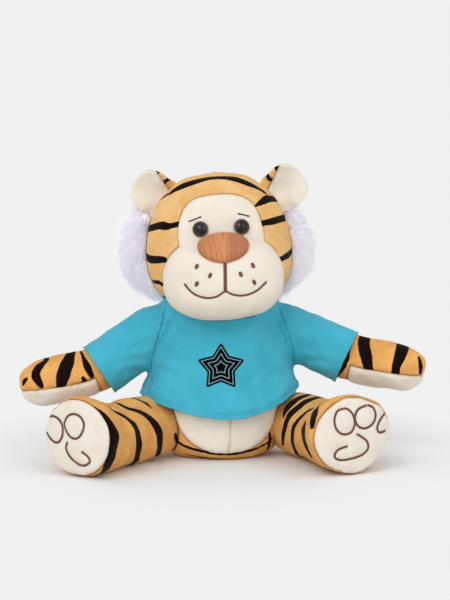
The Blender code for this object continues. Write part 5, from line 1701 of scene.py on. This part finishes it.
# Folds of the cloth, the two long creases first: a line, its depth and its width
FOLDS = (
    (((172, 300), (176, 312), (170, 328), (160, 345), (150.5, 362)), 0.0013, 0.0042),
    (((277, 301), (277, 315), (281, 333), (288, 350), (295.5, 368)), 0.0013, 0.0042),
    (((150, 363), (160, 368), (173, 378), (186, 392)), 0.0010, 0.0055),
    (((151, 360), (166, 357), (183, 360), (199, 366)), 0.0008, 0.0060),
    (((294, 367), (283, 370), (270, 380), (258, 394)), 0.0010, 0.0055),
    (((293, 362), (279, 357), (262, 358), (246, 363)), 0.0008, 0.0060),
    (((150, 361), (138, 359), (124, 361), (110, 368)), 0.0012, 0.0050),
    (((158, 342), (146, 343), (132, 349), (119, 358)), 0.0009, 0.0060),
    (((296, 366), (306, 361), (318, 360), (333, 364)), 0.0012, 0.0050),
    (((286, 343), (297, 343), (311, 348), (325, 356)), 0.0009, 0.0060),
    (((141, 398), (148, 388), (154, 375)), 0.0012, 0.0055),
    (((300, 383), (294, 377), (289, 368)), 0.0014, 0.0045),
    (((176, 408), (180, 396), (182, 380)), 0.0008, 0.0060),
    (((262, 409), (258, 396), (255, 382)), 0.0008, 0.0060),
    (((196, 318), (214, 326), (236, 326), (252, 318)), 0.0007, 0.0060),
)


def shirt_held(points):
    """How firmly each point of the shirt is held: at its collar and cuffs, and loosely at its hem."""
    values = shirt_fields(Form(points, [[0, 0, 0]])).values
    near_collar = np.clip(1.4 - values["collar"] / 5, 0, 1)
    near_cuff = np.clip(1.3 - values["cuff"] / 5, 0, 1)
    near_hem = 0.55 * np.clip(1.3 - values["hem"] / 5, 0, 1)
    return np.maximum(np.maximum(near_collar, near_cuff), near_hem)


def draped(form, cap=0.0032):
    """Lets the shirt hang and crumple over the body and the arms, by less than a cap."""
    if not FINE:
        return form
    before, faces, after = simulate(shirt_skin(0.0030, 5), shirt_held, 26, gravity=1.0, shrink=-0.035,
                                    against=[torso] + arms)
    move = after - before
    length = np.linalg.norm(move, axis=1)
    move *= (cap * np.tanh(length / cap) / np.maximum(length, 1e-9))[:, None]
    return follow(form, before, faces, move)


draped(shirt)
for pixels, depth, width in FOLDS:
    fold(shirt, drawn(shirt_tree, pixels), depth, width)
shirt.push(ripple(shirt.points, 0.021, 90, 2) * 0.00035)
off_the_head(shirt, 0.0007)


def clear_of_form(form, solid, gap):
    """Lifts points that come too near a solid, along its own way out."""
    tree = solid.tree()
    for i, p in enumerate(form.points):
        spot, normal, _, distance = tree.find_nearest(p, 0.012)
        if spot is None:
            continue
        lift = (Vector(p) - spot).dot(normal)
        if lift < gap and distance < 0.006:
            form.points[i] = np.array(Vector(p) + normal * (gap - lift))
    return form


for solid in [torso] + arms:
    clear_of_form(shirt, solid, 0.0008)
shirt.smoothed(2)

raglan_edge = cut_line(shirt, shirt.values["raglan"])
ends = np.minimum(np.minimum(shirt.values["hem"], shirt.values["cuff"]), shirt.values["collar"])
raglan_gap = distance_to(shirt.points, raglan_edge) * 1000
side_gap = np.abs(shirt.values["front"]) + 8 * (shirt.values["raglan"] > 0)
# Nearness to the seams and to the hems, cuffs and collar sets the jersey's painted shade
shirt.values["seam"] = np.minimum(np.minimum(raglan_gap, side_gap), np.maximum(ends, 0) * 0.9 + 0.2)
shirt.push(-0.00035 * np.exp(-(np.minimum(raglan_gap, side_gap) / 0.8) ** 2))
turned_up = np.exp(-(((ends - 2.6) / 1.1) ** 2))
shirt.push(-0.00028 * turned_up + 0.00025 * np.exp(-((np.maximum(ends, 0) / 1.6) ** 2)))
shirt.values["level"] = shirt.points[:, 2] * 1000

body, sleeves = shirt.cut(shirt.values["raglan"])
back_panel, front_panel = body.cut(body.values["front"])
left_sleeve, right_sleeve = sleeves.cut(sleeves.values["across"])

# "around" runs round the body or the sleeve in millimetres, at the radius given here
BODY_ROUND, SLEEVE_ROUND, CLOTH_THICKNESS = 46, 18.6, 0.0007
front_panel.values["around"] = front_panel.values["turn"] * BODY_ROUND
back_panel.values["around"] = np.mod(back_panel.values["turn"], 2 * math.pi) * BODY_ROUND
for (index, side, _), form in zip(SIDES, (left_sleeve, right_sleeve)):
    place = np.array(shoulder(index, side))
    local = (form.points - place[:3, 3]) @ place[:3, :3]
    form.values["around"] = np.degrees(np.arctan2(local[:, 1], local[:, 0])) / 57.3 * SLEEVE_ROUND
    form.values["level"] = local[:, 2] * 1000


def cloth_piece(name, form, stands_for, body):
    """One panel of the shirt, with its cloth's thickness."""
    form.values = {k: form.values[k] for k in ("seam", "level", "around")}
    obj = add_piece(name, form, turquoise_jersey, body, stands_for)
    solid = obj.modifiers.new("Thickness", "SOLIDIFY")
    solid.thickness, solid.offset = CLOTH_THICKNESS, -1.0
    applied(obj)


# Each panel's flat size and its cloth area
PANELS = (
    ("shirt_front_cloth", front_panel, "shirt_front", (0.124, 0.078), 0.0070),
    ("shirt_back_cloth", back_panel, "shirt_back", (0.122, 0.075), 0.0070),
    ("left_sleeve_cloth", left_sleeve, "left_sleeve", (0.122, 0.062), 0.0053),
    ("right_sleeve_cloth", right_sleeve, "right_sleeve", (0.120, 0.062), 0.0052),
)
for name, form, stands_for, flat, area in PANELS:
    cloth_piece(name, form, (stands_for,), "torso" if "shirt" in name else None)
for index, side, label in SIDES:
    pivot = shoulder(index, side).translation
    way = TORSO.to_3x3() @ Vector((side * 0.967, 0, 0.259))
    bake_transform(bpy.data.objects[label + "_sleeve_cloth"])


# Hem stitching

whole_tree = shirt.tree()


def hem_ring(inset):
    """Rays that meet the hem's stitches from inside, each with its start."""
    for around in np.linspace(-math.pi, math.pi, 260):
        if abs(math.sin(around)) < 0.97:
            way = TORSO.to_3x3() @ Vector((math.sin(around), -math.cos(around), 0))
            yield Vector((0, 0, float(hem_level(around)) + inset)), way


def cuff_ring(place, inset):
    """Rays that meet a cuff's stitches from inside, each with its start."""
    for around in np.linspace(0, 2 * math.pi, 140):
        centre = place @ Vector((0, 0, SLEEVE_LENGTH - inset))
        yield centre, place.to_3x3() @ Vector((math.cos(around), math.sin(around), 0))


def ring_lines(ring, limit, gap=0.006):
    """Where a ring's rays meet the shirt within a limit, as lines that break where they jump."""
    hits = [(whole_tree.ray_cast(centre, way.normalized())[0], centre) for centre, way in ring]
    spots = [tuple(spot) for spot, centre in hits if spot is not None and math.dist(spot, centre) < limit]
    lines, line = [], [spots[0]]
    for a, b in zip(spots, spots[1:]):
        if math.dist(a, b) > gap:
            lines.append(line)
            line = []
        line.append(b)
    lines.append(line)
    return [line for line in lines if len(line) > 3]


for row, inset in enumerate(HEM_ROWS, 1):
    embroider("shirt_hem_stitches_%d" % row, shirt, ring_lines(hem_ring(inset), 1.0), "torso", hem_thread, HEM_STITCH)
for index, side, label in SIDES:
    for row, inset in enumerate(HEM_ROWS, 1):
        lines = ring_lines(cuff_ring(shoulder(index, side), inset), 0.030)
        embroider(label + "_cuff_stitches_%d" % row, shirt, lines, label + "_arm", hem_thread, HEM_STITCH)


# Star printed on the shirt's front

def star_depth(points, outer=0.0165, share=0.56, rounding=0.0011):
    """How far inside a rounded five-pointed star each flat point is."""
    angles = np.arange(10) * math.pi / 5 + math.pi / 2
    radii = np.where(np.arange(10) % 2 == 0, outer - rounding * 2, outer * share - rounding)
    corners = np.column_stack([np.cos(angles) * radii, np.sin(angles) * radii])
    gap = np.full(len(points), 9.0)
    inside = np.zeros(len(points), bool)
    for a, b in zip(corners, np.roll(corners, -1, axis=0)):
        along = np.clip(((points - a) @ (b - a)) / ((b - a) @ (b - a)), 0, 1)
        gap = np.minimum(gap, np.linalg.norm(points - a - along[:, None] * (b - a), axis=1))
        crosses = (a[1] > points[:, 1]) != (b[1] > points[:, 1])
        with np.errstate(divide="ignore", invalid="ignore"):
            x = (b[0] - a[0]) * (points[:, 1] - a[1]) / (b[1] - a[1]) + a[0]
        inside ^= crosses & (points[:, 0] < x)
    return np.where(inside, gap, -gap) + rounding


# The star's middle in the photograph, half the print's room, its points along a side, and the ink's lift
STAR_PIXEL, STAR_ROOM, STAR_CELLS, STAR_LIFT = (221.0, 367.5), 0.018, 110, 0.00010
steps = np.linspace(-STAR_ROOM, STAR_ROOM, STAR_CELLS)
flat = np.column_stack([grid.ravel() for grid in np.meshgrid(steps, steps)])
k = np.arange(STAR_CELLS - 1)
a = (k[:, None] * STAR_CELLS + k[None, :]).ravel()
b, c, d = a + 1, a + STAR_CELLS + 1, a + STAR_CELLS
faces = np.vstack([np.column_stack([a, b, c]), np.column_stack([a, c, d])])
front_tree = front_panel.tree()
spots = []
for s, t in flat * FOCAL_PIXELS / DISTANCE:
    spot, normal, _, _ = front_tree.ray_cast(EYE_POINT, ray(STAR_PIXEL[0] + s, STAR_PIXEL[1] - t))
    spots.append(spot + normal * STAR_LIFT if spot is not None else (0, 0, 0))
star = Form(spots, faces, {"inset": star_depth(flat) * 1000})
star = star.cut(star.values["inset"])[1]
add_piece("star_print", star, print_ink, "torso")


# The record's finish names, each with the materials under it

SLOTS = (
    ("orange_plush", (orange_head, orange_body)), ("cream_plush", (cream_head, cream_body, brightened_cream_belly)),
    ("white_fur", (white_fur,)), ("turquoise_jersey", (turquoise_jersey, hem_thread)),
    ("brown_thread", (nose_thread, mouth_thread, dark_thread)), ("eye_plastic", (eye_gloss,)),
)
for piece in bpy.data.objects:
    for slot_name, finishes in SLOTS:
        piece.type == "MESH" and piece.data.materials and piece.data.materials[0] in finishes


# The washers keep their solids, in moulded plastic

for node in bpy.data.objects:
    if node.name in ("left_eye_washer", "right_eye_washer"):
        for slot in node.material_slots:
            slot.material = washer


# Camera, floor and light

SENSOR = 36
BACKDROP, FLOOR_PAINT = (0.878, 0.878, 0.878, 1), (0.885, 0.885, 0.885, 1)
AMBIENT = 0.74
FLOOR_SIZE, GLOW_START, GLOW_END = 4, 0.115, 0.215
SUNS = (("key_light", 0.86, 36, (-30, 38)), ("fill_light", 0.44, 50, (42, 28)), ("eye_light", 0.20, 11, (-12, 22)))

scene = bpy.context.scene
camera_data = bpy.data.cameras.new("camera")
camera_data.lens, camera_data.sensor_width = FOCAL_PIXELS * SENSOR / FRAME_HEIGHT, SENSOR
camera = bpy.data.objects.new("camera", camera_data)
camera.location = EYE_POINT
camera.rotation_euler = FORWARD.to_track_quat("-Z", "Y").to_euler()
scene.collection.objects.link(camera)
scene.camera = camera
scene.view_settings.view_transform = "Standard"


def plain_rays(tree):
    """1 where a ray comes from the camera, a reflection or glass."""
    path = add_node(tree, "ShaderNodeLightPath").outputs
    total = path["Is Camera Ray"]
    for label in ("Is Glossy Ray", "Is Transmission Ray"):
        add = add_node(tree, "ShaderNodeMath", {"operation": "ADD", "use_clamp": True}, {0: total, 1: path[label]})
        total = add.outputs[0]
    return total


def mixed(tree, factor, first, second, end):
    """Ends a tree in a mix of two shaders."""
    inputs = {0: factor, 1: first.outputs[0], 2: second.outputs[0]}
    choice = add_node(tree, "ShaderNodeMixShader", {}, inputs)
    tree.links.new(choice.outputs[0], tree.nodes[end].inputs[0])


world = bpy.data.worlds.new("studio")
scene.world = world
world.use_nodes = True
tree = world.node_tree
soft = tree.nodes["Background"]
plug(tree, soft.inputs["Color"], (1, 1, 1))
plug(tree, soft.inputs["Strength"], AMBIENT)
plain = add_node(tree, "ShaderNodeBackground", {}, {"Color": BACKDROP, "Strength": 1.0})
mixed(tree, plain_rays(tree), soft, plain, "World Output")

corners = [(-FLOOR_SIZE, -FLOOR_SIZE, 0), (FLOOR_SIZE, -FLOOR_SIZE, 0), (FLOOR_SIZE, FLOOR_SIZE, 0),
           (-FLOOR_SIZE, FLOOR_SIZE, 0)]
floor = mesh_object("floor", corners, [(0, 1, 2, 3)])
floor_material = bpy.data.materials.new("floor")
floor_material.use_nodes = True
tree = floor_material.node_tree
paint = tree.nodes["Principled BSDF"]
for label, value in (("Base Color", FLOOR_PAINT), ("Roughness", 1.0), ("Specular IOR Level", 0.0)):
    plug(tree, paint.inputs[label], value)
glow = add_node(tree, "ShaderNodeEmission", {}, {"Color": BACKDROP, "Strength": 1.0})
place = add_node(tree, "ShaderNodeTexCoord").outputs["Object"]
distance = add_node(tree, "ShaderNodeVectorMath", {"operation": "LENGTH"}, {0: place}).outputs["Value"]
away = add_node(tree, "ShaderNodeMapRange", {"interpolation_type": "SMOOTHSTEP"}, {
    "Value": distance, "From Min": GLOW_START, "From Max": GLOW_END})
open_floor = add_node(tree, "ShaderNodeMath", {"operation": "MULTIPLY"}, {0: plain_rays(tree), 1: away.outputs[0]})
mixed(tree, open_floor.outputs[0], paint, glow, "Material Output")
floor.data.materials.append(floor_material)

for name, strength, softness, (azimuth, elevation) in SUNS:
    lamp = bpy.data.lights.new(name, "SUN")
    lamp.energy, lamp.angle = strength, math.radians(softness)
    sun = bpy.data.objects.new(name, lamp)
    a, e = math.radians(azimuth), math.radians(elevation)
    way = Vector((math.sin(a) * math.cos(e), -math.cos(a) * math.cos(e), math.sin(e)))
    sun.rotation_euler = way.to_track_quat("Z", "Y").to_euler()
    bpy.context.scene.collection.objects.link(sun)
